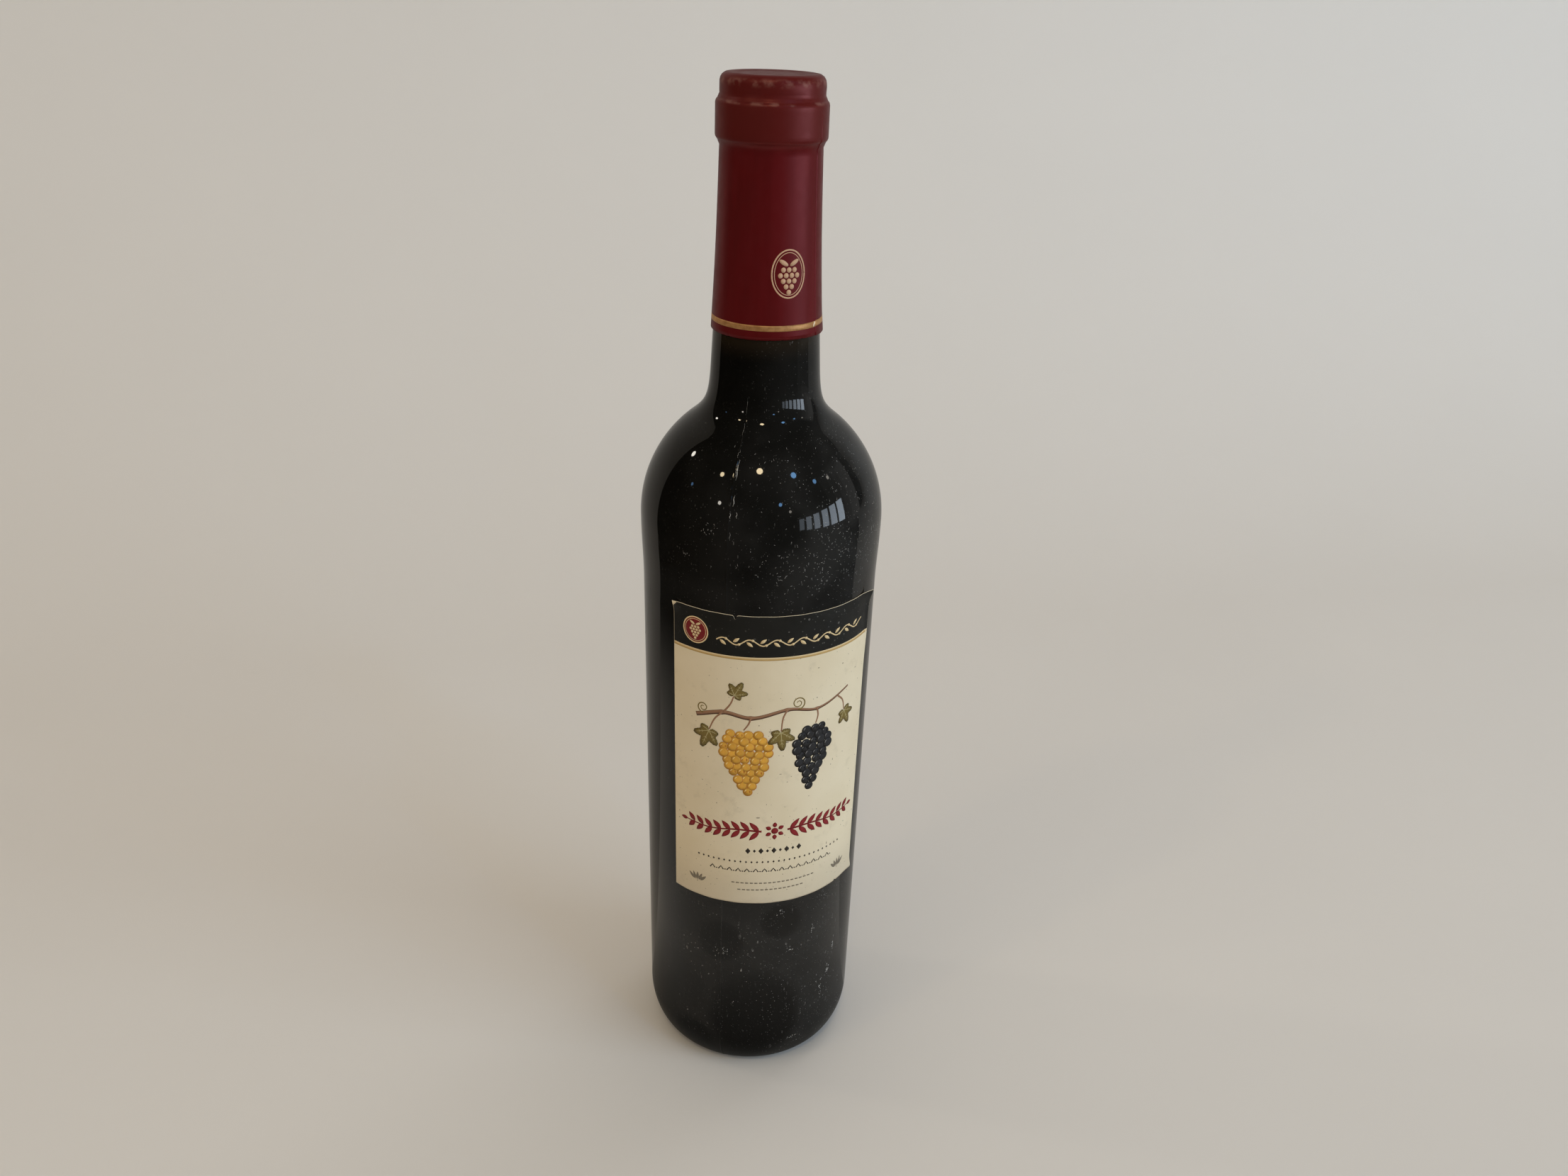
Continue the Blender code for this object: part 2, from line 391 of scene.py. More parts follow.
def bezier(start, start_slope, start_pull, end, end_slope, end_pull):
    """A cubic curve that falls from start to end; a slope is the radius gained per height lost."""
    start, end = np.array(start), np.array(end)
    leave = start + start_pull * np.array((start_slope, -1.0)) / hypot(start_slope, 1.0)
    arrive = end - end_pull * np.array((end_slope, -1.0)) / hypot(end_slope, 1.0)
    share = np.linspace(0.0, 1.0, curve_steps(start[1] - end[1]) + 1)[:, None]
    rest = 1.0 - share
    near, far = rest**3 * start + 3 * share * rest**2 * leave, 3 * share**2 * rest * arrive + share**3 * end
    return list(near + far)


def straight(start, end):
    start, end = np.array(start), np.array(end)
    share = np.linspace(0.0, 1.0, curve_steps(dist(start, end)) + 1)[:, None]
    return list(start + (end - start) * share)


def finish_profile(top):
    """The mouth and the ring below it, from near the middle of the top down to the neck."""
    mouth_side, ring_side = MOUTH_RADIUS - MOUTH_ROUND, RING_RADIUS - RING_ROUND
    ring_turn = radians(60)
    points = straight((1.0 * MM, top), (mouth_side, top))
    points += ellipse_arc((mouth_side, top - MOUTH_ROUND), MOUTH_ROUND, MOUTH_ROUND, pi / 2, 0.0)[1:]
    points += straight(points[-1], (MOUTH_RADIUS, RING_TOP_HEIGHT + MOUTH_STEP))[1:]
    for level, start, end in (
        (RING_TOP_HEIGHT - RING_ROUND, ring_turn, 0.0), (RING_BOTTOM_HEIGHT + RING_ROUND, 0.0, -ring_turn),
    ):
        corner = ellipse_arc((ring_side, level), RING_ROUND, RING_ROUND, start, end)
        points += straight(points[-1], corner[0])[1:] + corner[1:]
    return points


def glass_profile(top):
    """The outline of the glass from the top down the side and in to the punt."""
    arc = ellipse_arc(
        (SHOULDER_RADIUS - SHOULDER_ARC_RADIUS, SHOULDER_HEIGHT),
        SHOULDER_ARC_RADIUS, SHOULDER_ARC_RADIUS, SHOULDER_ARC_TURN, 0.0,
    )
    neck_top, neck_base = (NECK_TOP_RADIUS, NECK_TOP_HEIGHT), (NECK_BASE_RADIUS, NECK_BASE_HEIGHT)
    neck = bezier(neck_top, NECK_TOP_TAPER, NECK_TOP_PULL, neck_base, NECK_BASE_TAPER, NECK_BASE_PULL)
    reverse_curve = bezier(
        neck_base, NECK_BASE_TAPER, NECK_PULL, arc[0], tan(SHOULDER_ARC_TURN), SHOULDER_PULL
    )
    side_top, heel_top = (SIDE_TOP_RADIUS, SIDE_TOP_HEIGHT), (HEEL_RADIUS, HEEL_HEIGHT)
    side_slope = (HEEL_RADIUS - SIDE_TOP_RADIUS) / (SIDE_TOP_HEIGHT - HEEL_HEIGHT)
    swell = bezier((SHOULDER_RADIUS, SHOULDER_HEIGHT), 0.0, SWELL_PULL, side_top, side_slope, SWELL_PULL)
    heel_width = HEEL_RADIUS - BEARING_OUTER_RADIUS
    heel = ellipse_arc((BEARING_OUTER_RADIUS, HEEL_HEIGHT), heel_width, HEEL_HEIGHT, 0.0, -pi / 2)
    punt = ellipse_arc((0.0, 0.0), BEARING_INNER_RADIUS, PUNT_DEPTH, 0.0, radians(88))
    points = finish_profile(top) + neck + reverse_curve[1:] + arc[1:] + swell[1:]
    points += straight(side_top, heel_top)[1:] + heel[1:]
    points += straight((BEARING_OUTER_RADIUS, 0.0), (BEARING_INNER_RADIUS, 0.0))[1:] + punt[1:]
    return np.array(points)


def profile_normals(profile):
    step = np.gradient(profile, axis=0)
    step /= np.linalg.norm(step, axis=1)[:, None]
    return np.stack((-step[:, 1], step[:, 0]), axis=1)


def side_radius(profile, height):
    """The radius of the glass at a height above the heel."""
    outer = profile[: np.argmin(profile[:, 1])]
    return np.interp(height, outer[::-1, 1], outer[::-1, 0])


# Materials

class Paint:
    """One material. Each method adds nodes and returns the socket that carries its result."""

    def __init__(self, name):
        self.material = bpy.data.materials.new(name)
        self.material.use_nodes = True
        self.tree = self.material.node_tree
        self.surface = self.tree.nodes["Principled BSDF"]
        self.place = self.add("ShaderNodeTexCoord").outputs["Object"]

    def feed(self, node, values):
        """Give a node's inputs their values: a socket is linked, and a colour comes without alpha."""
        for name, value in values.items():
            socket = node.inputs[name]
            if isinstance(value, bpy.types.NodeSocket):
                self.tree.links.new(value, socket)
            elif socket.type == "RGBA":
                socket.default_value = (*value, 1.0)
            else:
                socket.default_value = value

    def add(self, kind, values=None, **settings):
        node = self.tree.nodes.new(kind)
        for name, value in settings.items():
            setattr(node, name, value)
        self.feed(node, values or {})
        return node

    def set(self, **values):
        self.feed(self.surface, {name.replace("_", " "): value for name, value in values.items()})

    def ink(self):
        """The colour that the mesh carries."""
        return self.add("ShaderNodeVertexColor", layer_name="ink").outputs["Color"]

    def noise(self, size, detail=2.0, roughness=0.5, place=None):
        """Cloudy noise whose features are about size across."""
        values = {"Vector": place or self.place, "Scale": 1.0 / size}
        values.update({"Detail": detail, "Roughness": roughness})
        return self.add("ShaderNodeTexNoise", values).outputs["Fac"]

    def specks(self, size, radius, share, place=None):
        """Dots of a radius in a share of the cells of a size, both in mm: 1 inside and 0 outside."""
        cells = self.add("ShaderNodeTexVoronoi", {"Vector": place or self.place, "Scale": 1.0 / (size * MM)})
        chance = self.add("ShaderNodeSeparateColor", {"Color": cells.outputs["Color"]}).outputs
        grown = self.times(chance["Green"], radius / size)
        inside = self.calculate("LESS_THAN", cells.outputs["Distance"], grown)
        return self.times(inside, self.calculate("LESS_THAN", chance["Red"], share))

    def calculate(self, operation, *values):
        """The values joined from the first to the last."""
        total = values[0]
        for value in values[1:]:
            total = self.add("ShaderNodeMath", {0: total, 1: value}, operation=operation).outputs[0]
        return total

    def times(self, *values):
        return self.calculate("MULTIPLY", *values)

    def plus(self, *values):
        return self.calculate("ADD", *values)

    def span(self, value, low, high, start=0.0, end=1.0):
        """Start below low, end above high and a smooth change between them."""
        values = {"Value": value, "From Min": low, "From Max": high, "To Min": start, "To Max": end}
        return self.add("ShaderNodeMapRange", values, interpolation_type="SMOOTHSTEP").outputs["Result"]

    def band(self, value, low, middle, high):
        """1 at the middle, fading to 0 at low and at high."""
        return self.times(self.span(value, low, middle), self.span(value, middle, high, 1.0, 0.0))

    def mix(self, share, first, second):
        return self.add("ShaderNodeMix", {0: share, 6: first, 7: second}, data_type="RGBA").outputs[2]

    def stretch(self, factors, turn=(0.0, 0.0, 0.0)):
        """The place, turned and stretched, for marks that are longer one way."""
        values = {"Vector": self.place, "Rotation": turn, "Scale": factors}
        return self.add("ShaderNodeMapping", values).outputs["Vector"]

    def axis(self, name):
        return self.add("ShaderNodeSeparateXYZ", {"Vector": self.place}).outputs[name]

    def toward(self, bearing):
        """How far a point lies from the upright axis towards a bearing in degrees."""
        turn = radians(bearing)
        return self.plus(self.times(self.axis("X"), sin(turn)), self.times(self.axis("Y"), -cos(turn)))

    def distance(self, bearing, level):
        """How far a point lies from a place on the side of the body, by its degrees and mm."""
        spot = tuple(around(SIDE_TOP_RADIUS, radians(bearing), level * MM))
        values = {0: self.place, 1: spot}
        return self.add("ShaderNodeVectorMath", values, operation="DISTANCE").outputs["Value"]

    def finish(self, grain, depth, strength, **values):
        """The material with its values and a relief of a depth in mm."""
        self.set(**values)
        relief = {"Height": grain, "Distance": depth * MM, "Strength": strength}
        self.set(Normal=self.add("ShaderNodeBump", relief).outputs["Normal"])
        return self.material


def glass_material():
    """Nearly black glass, warm where the neck is thin, painted as light shining through it, under a film of
    dust and fine scuffs. The film and dust are painted paler towards the lit side at bearing 55, and two
    patches low at the front leave a painted dark reflection at the foot.
    """
    paint = Paint("dark_glass")
    height = paint.axis("Z")
    # The warm neck is painted light shining through the thin glass, over the glass's own brown tint
    body = paint.mix(paint.span(height, *NECK_GLOW_SPAN), BLACK_GLASS, NECK_GLASS)
    # Film and dust thicken towards bearing 55, the lit side: painted light over a real cloud of dust
    dust_cloud_and_lit_side = paint.times(
        paint.span(paint.toward(55), -0.012, 0.034, 0.25, 1.0),
        paint.span(paint.noise(0.02, 3.0), 0.35, 0.7, 0.3, 1.0),
        paint.span(height, *THIN_FILM_SPAN, 1.0, 0.55),
    )
    dust = paint.plus(
        paint.specks(0.7, 0.17, 0.7),
        paint.specks(2.1, 0.27, 0.18),
        paint.specks(1.1, 0.17, 0.6, paint.stretch((1.0, 1.0, 0.26), (0.5, 0.3, 0.0))),
    )
    # Where the film is taken away; low at the front this is painted shade at the foot
    clean_and_shade = paint.times(*(
        paint.span(paint.distance(bearing, level), 0.65 * reach * MM, 1.1 * reach * MM, 0.06, 1.0)
        for bearing, level, reach in CLEAN_AND_SHADE_PATCHES
    ))
    film_and_painted_light = paint.times(dust_cloud_and_lit_side, paint.span(height, *FILM_SPAN, 0.014, 0.033), clean_and_shade)
    dull = paint.times(
        paint.span(height, *DULL_START_SPAN), paint.span(height, *DULL_END_SPAN, 0.009, 0.0), clean_and_shade
    )
    rubbed = paint.times(
        paint.span(height, *RUBBED_END_SPAN, 1.0, 0.0),
        paint.span(paint.noise(0.014, 3.0), 0.47, 0.62),
        paint.calculate("MAXIMUM", clean_and_shade, 0.35),
    )
    flecks = paint.plus(
        paint.specks(2.2, 0.6, 0.3, paint.stretch((1.2, 1.2, 0.5), (0.3, 0.2, 0.0))),
        paint.specks(1.1, 0.34, 0.4),
    )
    ragged = paint.span(paint.noise(0.0006, 4.0, 0.7), 0.44, 0.58)
    scuffs, haze = paint.times(flecks, ragged, rubbed, 0.26), paint.times(rubbed, 0.005)
    cover = paint.plus(film_and_painted_light, dull, paint.times(dust, dust_cloud_and_lit_side, 0.19), scuffs, haze)
    return paint.finish(
        paint.noise(0.006, 1.0), 0.004, 0.6, Base_Color=paint.mix(cover, body, GLASS_DUST_AND_PAINTED_LIGHT),
        Roughness=paint.span(cover, 0.0, 0.4, 0.03, 0.6), IOR=1.46, Specular_IOR_Level=0.30,
    )


def capsule_material():
    """Satin burgundy plastic, a little worn along the rim of the mouth and the ring, with pale painted
    highlights there.
    """
    paint = Paint("burgundy_capsule")
    height = paint.axis("Z")
    streaks = paint.noise(0.004, 3.0, 0.6, paint.stretch((1.0, 1.0, 0.12)))
    color = paint.mix(paint.span(streaks, 0.3, 0.7), BURGUNDY, BURGUNDY_LIGHT)
    # Pale streaks on the mouth rim and the ring edge: part wear, part painted highlight
    edges = paint.plus(paint.band(height, *MOUTH_EDGE_BAND), paint.band(height, *RING_EDGE_BAND))
    worn = paint.times(edges, paint.span(paint.noise(0.003, 4.0), 0.44, 0.64), 0.3)
    color = paint.mix(paint.span(height, *SLEEVE_DULL_SPAN, 0.0, 0.75), color, BURGUNDY_DULL)
    return paint.finish(
        paint.noise(0.0012, 3.0, 0.6), 0.012, 0.5, Base_Color=paint.mix(worn, color, BURGUNDY_WORN_AND_GLINT),
        Roughness=paint.span(paint.noise(0.003, 3.0), 0.3, 0.7, 0.34, 0.42),
        Metallic=0.22, IOR=1.42, Specular_IOR_Level=0.36, Specular_Tint=(1.0, 0.72, 0.74),
    )


def gold_material():
    """Printed gold ink, a little brushed."""
    paint = Paint("gold_ink")
    grain = paint.noise(0.0016, 3.0, 0.6)
    return paint.finish(
        grain, 0.004, 0.6, Base_Color=paint.mix(paint.span(grain, 0.3, 0.7), GOLD_DEEP, GOLD_LIGHT),
        Roughness=paint.span(grain, 0.3, 0.7, 0.38, 0.48), Metallic=0.45,
    )


def paper_material():
    """Uncoated cream paper with short dark fibres, faint stains, painted shade towards its foot and a fine
    tooth.
    """
    paint = Paint("cream_paper")
    color = paint.mix(paint.span(paint.noise(0.018, 3.0), 0.3, 0.7), CREAM, CREAM_LIGHT)
    stain = paint.times(paint.span(paint.noise(0.006, 4.0, 0.65), 0.55, 0.72), 0.24)
    color = paint.mix(stain, color, PAPER_STAIN)
    fibres = paint.plus(
        paint.specks(1.5, 0.22, 0.34),
        paint.specks(2.0, 0.24, 0.28, paint.stretch((0.35, 1.0, 1.0), (0.0, 0.5, 0.0))),
        paint.specks(2.2, 0.24, 0.28, paint.stretch((1.0, 1.0, 0.35), (0.0, -0.4, 0.0))),
    )
    color = paint.mix(paint.times(fibres, 0.8), color, PAPER_FIBRE)
    # The lower end of the label is darkened as painted shade, where less light reaches it
    color = paint.mix(paint.span(paint.axis("Z"), *PAPER_PAINTED_SHADE_SPAN, 0.5, 0.0), color, PAPER_PAINTED_SHADE)
    return paint.finish(
        paint.noise(0.0005, 3.0, 0.6), 0.02, 0.35,
        Base_Color=color, Roughness=0.72, IOR=1.45, Specular_IOR_Level=0.35,
    )


def ink_material():
    """Printed colours, carried by the mesh, with the paper's grain showing through."""
    paint = Paint("printed_ink")
    grain = paint.noise(0.0004, 3.0, 0.7)
    worn = paint.times(paint.span(grain, 0.60, 0.78), 0.25)
    return paint.finish(
        grain, 0.006, 0.3, Base_Color=paint.mix(worn, paint.ink(), INK_WORN),
        Roughness=paint.span(grain, 0.3, 0.7, 0.52, 0.64), IOR=1.45, Specular_IOR_Level=0.3,
    )


def mark_material():
    """Chalky scuffs and lint, and the painted glints on the seam, broken up where they thin out."""
    paint = Paint("pale_marks")
    grain = paint.noise(0.0003, 3.0, 0.7)
    return paint.finish(
        grain, 0.004, 0.4, Base_Color=paint.mix(paint.span(grain, 0.36, 0.56), MARK_GAP, paint.ink()),
        Roughness=paint.span(grain, 0.3, 0.7, 0.6, 0.8), IOR=1.45, Specular_IOR_Level=0.3,
    )


def black_ink_material():
    """The black field, dusty and rubbed grey here and there, the dust painted paler towards the lit side at
    bearing 50.
    """
    paint = Paint("black_ink")
    # The dust shows more towards bearing 50, the lit side: painted light
    side = paint.span(paint.toward(50), 0.005, 0.035, 0.35, 1.0)
    cloud = paint.span(paint.noise(0.012, 3.0), 0.35, 0.7, 0.3, 1.0)
    dust = paint.plus(paint.specks(0.9, 0.26, 0.45), paint.specks(2.0, 0.4, 0.25))
    cover = paint.times(paint.plus(paint.times(cloud, 0.012), paint.times(dust, 0.13)), side)
    return paint.finish(
        paint.noise(0.0006, 3.0, 0.6), 0.012, 0.35,
        Base_Color=paint.mix(cover, BLACK_INK, BLACK_INK_DUST_AND_PAINTED_LIGHT),
        Roughness=paint.span(paint.noise(0.004, 3.0), 0.3, 0.7, 0.42, 0.54),
        IOR=1.45, Specular_IOR_Level=0.3,
    )


def stage_material(name, color):
    paint = Paint(name)
    paint.set(Base_Color=paint.mix(paint.noise(0.15, 3.0), color, shaded(color, 0.97)), Roughness=0.85)
    return paint.material


def fading_table_material():
    """The table as the glass reflects it: dim close to the foot as a painted contact shadow, and dark
    towards its edge.
    """
    paint = Paint("fading_table")
    away = paint.add("ShaderNodeVectorMath", {0: paint.place}, operation="LENGTH").outputs["Value"]
    share = paint.times(
        paint.span(away, TABLE_NEAR_START, TABLE_NEAR_END, TABLE_NEAR_SHARE, 1.0),
        paint.span(away, TABLE_FADE_START, TABLE_FADE_END, 1.0, 0.0),
    )
    paint.set(Base_Color=paint.mix(share, (0.0, 0.0, 0.0), PALE_STAGE), Roughness=0.85)
    return paint.material


# Glass

def column_bearings(count, extra_at, spread):
    """Even bearings round the turn, with more close to each of a few bearings."""
    bearings = [tau * column / count for column in range(count)]
    bearings += [(middle + offset) % tau for middle in extra_at for offset in spread]
    return np.array(sorted(set(round(bearing, 7) for bearing in bearings)))


def glass_waves(bearing, height):
    """The slow waviness of blown glass, as a change of radius."""
    waves = np.sin(3 * bearing + 71 * height) + 0.7 * np.sin(5 * bearing - 118 * height + 1.3)
    waves += 0.5 * np.sin(8 * bearing + 163 * height + 0.4) + 0.4 * np.sin(2 * bearing + 240 * height)
    return WAVE_HEIGHT * waves / 2.6


def make_glass(profile):
    """The whole bottle as one skin: seams along both sides, grip marks under the foot."""
    seam_spread = [offset * SEAM_WIDTH / SHOULDER_RADIUS for offset in (-2, -1.3, -0.7, 0.0, 0.7, 1.3, 2)]
    bearings = column_bearings(GLASS_COLUMNS, SEAM_BEARINGS, seam_spread)
    normals = profile_normals(profile)
    radius, height = profile[:, :1], profile[:, 1:]
    bearing = bearings[None, :]
    outside = smooth_step(radius, 0.6 * BEARING_OUTER_RADIUS, BEARING_OUTER_RADIUS)
    side = smooth_step(height, 0.5 * MM, 6.0 * MM) * outside
    shrink = smooth_step(height, NECK_TOP_HEIGHT, NECK_BASE_HEIGHT)
    seams = sum(
        hump(turn_difference(bearing, middle) * radius, 0.0, SEAM_WIDTH) for middle in SEAM_BEARINGS
    )
    rise = side * (shrink * seams * SEAM_HEIGHT + glass_waves(bearing, height))
    rise = np.minimum(rise, SHOULDER_RADIUS - radius + 0.0 * bearing)
    on_ring = hump(radius, (BEARING_INNER_RADIUS + BEARING_OUTER_RADIUS) / 2, 1.4 * MM)
    marks = 0.5 + 0.5 * np.cos(GRIP_MARKS * bearing)
    lift = GRIP_DEPTH * on_ring * (height < 1.0 * MM) * smooth_step(marks, 0.15, 0.55)
    points = around(radius + rise * normals[:, :1], bearing, height + rise * normals[:, 1:] + lift)
    rows, columns = len(profile), len(bearings)
    faces = grid_faces(rows, columns, wrap=True)
    points = close_ends(points.reshape(-1, 3), faces, rows, columns, (profile[0, 1], PUNT_DEPTH))
    return new_object("bottle_glass", points, faces, glass_material())


# Capsule

def capsule_rise(bearing, height):
    """How far the capsule's outside stands off the glass: overlap seam, flare at the foot, creases."""
    past_seam = turn_difference(bearing, OVERLAP_BEARING)
    overlap = (past_seam >= 0) * (1.0 - smooth_step(past_seam, 0.25 * OVERLAP_FADE, OVERLAP_FADE))
    below_ring = smooth_step(height, RING_TOP_HEIGHT + 1.0 * MM, RING_BOTTOM_HEIGHT)
    flare = hump(turn_difference(bearing, FLARE_BEARING), 0.0, 0.9)
    flare = flare * smooth_step(height, 262 * MM, 255 * MM)
    rise = CAPSULE_RISE + OVERLAP_STEP * overlap * below_ring + FLARE_RISE * flare
    for middle, level, slant, depth in CREASES:
        along = turn_difference(bearing, middle)
        line = level * MM + slant * MM * along
        rise = rise + depth * MM * hump(height, line, 0.55 * MM) * hump(along, 0.0, 0.5)
    slack = 2.0 + np.sin(4 * bearing + 35 * height) + np.sin(7 * bearing - 90 * height + 2.0)
    return rise + 0.015 * MM * slack


def capsule_bottom(bearing):
    """The cut edge of the sleeve, a little uneven, with small nicks."""
    uneven = 0.05 * MM * np.sin(3 * bearing + 0.6) + 0.02 * MM * np.sin(41 * bearing) + 0.2 * MM
    uneven = uneven + 0.015 * MM * np.sin(97 * bearing + 1.0)
    for nick in EDGE_NICK_BEARINGS:
        uneven = uneven + 0.16 * MM * hump(turn_difference(bearing, nick), 0.0, 0.012)
    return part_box("capsule")[0].z + uneven


def top_recess(radius):
    return TOP_RECESS_DEPTH * smooth_step(radius, TOP_RECESS_RADIUS + 0.5 * MM, TOP_RECESS_RADIUS - 0.7 * MM)


def make_capsule(profile):
    """A closed thin sleeve: its outside down to the cut edge, then its inside back up."""
    edge_spread = [0.0, -0.0015, 0.5 * OVERLAP_FADE, 0.008]
    bearings = column_bearings(CAPSULE_COLUMNS, (OVERLAP_BEARING,), edge_spread)
    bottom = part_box("capsule")[0].z
    foot = [(side_radius(profile, bottom), bottom)]
    covered = np.vstack((profile[profile[:, 1] > bottom + 0.4 * MM], foot))
    normals = profile_normals(covered)
    normals[-1] = (1.0, 0.0)
    bearing = bearings[None, :]
    radius, height = covered[:, :1], covered[:, 1:]
    flat_top = (normals[:, 1:] > 0.95) * 1.0
    rise = capsule_rise(bearing, height) * (1.0 - flat_top) + CAPSULE_RISE * flat_top
    rise = np.minimum(rise, CAPSULE_RISE + 4.0 * (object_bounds()[1].z - CAPSULE_RISE - height))
    rise = np.maximum(rise, CAPSULE_RISE)
    outer_radius = radius + rise * normals[:, :1]
    outer_height = height + rise * normals[:, 1:] - top_recess(radius) * flat_top
    inner_radius = outer_radius - CAPSULE_THICKNESS * normals[:, :1]
    inner_height = outer_height - CAPSULE_THICKNESS * normals[:, 1:]
    outer_height[-1] = inner_height[-1] = capsule_bottom(bearings)
    outer = around(outer_radius, bearing, outer_height)
    inner = around(inner_radius, bearing, inner_height)[::-1]
    rows, columns = 2 * len(covered), len(bearings)
    faces = grid_faces(rows, columns, wrap=True)
    points = np.concatenate((outer, inner)).reshape(-1, 3)
    points = close_ends(points, faces, rows, columns, (outer_height[0, 0], inner_height[0, 0]))
    return new_object("capsule_sleeve", points, faces, capsule_material())


# Label

def label_top(across):
    """The upper edge of the paper, with one small torn nick."""
    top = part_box("label")[1].z
    return top - 1.3 * MM * hump(across, NICK_ACROSS, 0.36 * MM) + 0.03 * MM * np.sin(across * 900)


def label_bottom(across):
    """The lower edge of the paper, with a small tear near its right corner."""
    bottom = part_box("label")[0].z
    return bottom + 0.6 * MM * hump(across, TEAR_ACROSS, 0.3 * MM) + 0.03 * MM * np.sin(across * 700)


def label_rise(across, height):
    """How far the paper's face stands off the glass: it curls at its corners and along its right edge."""
    half = LABEL_WIDTH / 2
    top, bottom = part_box("label")[1].z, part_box("label")[0].z
    edge = smooth_step(across, half - 2.6 * MM, half) ** 2 * smooth_step(height, 0.150, 0.172)
    rise = PAPER_RISE + 0.45 * MM * edge
    curls = ((-half, top, 0.75, 2.0), (half, top, 1.1, 3.2), (half, bottom, 0.5, 2.4))
    for corner, level, curl, reach in curls:
        away = np.hypot(across - corner, height - level)
        rise = rise + curl * MM * hump(away, 0.0, reach * MM)
    nick = hump(across, NICK_ACROSS, 1.0 * MM) * hump(height, top, 1.2 * MM)
    bubbles = np.sin(across * 210 + height * 90) * np.sin(height * 170 + 0.7)
    return rise + 0.25 * MM * nick + 0.02 * MM * bubbles


class Surface:
    """A curved face that flat shapes are laid on, by a distance across and a height."""

    def __init__(self, profile):
        self.profile = profile

    def lay(self, bearing, height, rise, limit=1.0):
        return around(np.minimum(side_radius(self.profile, height) + rise, limit), bearing, height)

    def label(self, across, height, lift):
        return self.lay(across / LABEL_BEND_RADIUS, height, label_rise(across, height) + lift)

    def capsule(self, across, height, lift):
        bearing = across / NECK_BASE_RADIUS
        return self.lay(bearing, height, capsule_rise(bearing, height) + lift)

    def glass(self, across, height, lift):
        """The bare glass. Marks at its widest stay inside the width of the solid."""
        bearing = across / SHOULDER_RADIUS
        widest = np.maximum(np.abs(np.sin(bearing)), np.abs(np.cos(bearing)))
        return self.lay(bearing, height, glass_waves(bearing, height) + lift, SHOULDER_RADIUS / widest)

    def seam(self, across, height, lift):
        return self.glass(across, height, lift + SEAM_HEIGHT)


def make_paper(surface):
    """The sheet itself, closed, with its cut edge showing all round, and its black band."""
    half = LABEL_WIDTH / 2
    margins = (-half + PRINT_MARGIN, half - 0.5 * PRINT_MARGIN)
    nick = NICK_ACROSS + np.linspace(-0.5, 0.5, 9) * MM
    across = np.sort(np.concatenate((np.linspace(-half, half, 150), margins, nick)))
    top, bottom = label_top(across), label_bottom(across)
    band = BAND_BOTTOM + (top - PRINT_MARGIN - BAND_BOTTOM) * np.linspace(1.0, 0.0, 30)[:, None]
    cream = bottom + (BAND_BOTTOM - bottom) * np.linspace(1.0, 0.0, 170)[1:, None]
    height = np.vstack((top, band, cream))
    rows, columns = height.shape
    across = across[None, :] + 0.0 * height
    sides = [surface.label(across, height, lift) for lift in (0.0, -PAPER_THICKNESS)]
    faces = grid_faces(rows, columns)
    count = rows * columns
    faces += [tuple(count + corner for corner in reversed(face)) for face in faces]
    rim = list(range(columns)) + [row * columns + columns - 1 for row in range(1, rows)]
    rim += [(rows - 1) * columns + column for column in range(columns - 2, -1, -1)]
    rim += [row * columns for row in range(rows - 2, 0, -1)]
    for here, there in zip(rim, rim[1:] + rim[:1]):
        faces.append((here, there, count + there, count + here))
    points = np.concatenate(sides).reshape(-1, 3)
    paper = new_object("label_paper", points, faces, paper_material())
    paper.data.materials.append(black_ink_material())
    flat_across, flat_height = across.ravel(), height.ravel()
    paper_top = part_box("label")[1].z
    for face in list(paper.data.polygons)[: (rows - 1) * (columns - 1)]:
        corners = list(face.vertices)
        low, high = flat_height[corners].min(), flat_height[corners].max()
        left, right = flat_across[corners].min(), flat_across[corners].max()
        in_height = low > BAND_BOTTOM - 0.01 * MM and high < paper_top - 0.5 * PRINT_MARGIN
        in_width = left > -half + 0.5 * PRINT_MARGIN and right < half - 0.3 * PRINT_MARGIN
        bare_corner = (left + half) + (paper_top - high) < 1.1 * MM
        if in_height and in_width and not bare_corner:
            face.material_index = 1
    return paper


# Print, as flat shapes laid on a curved face

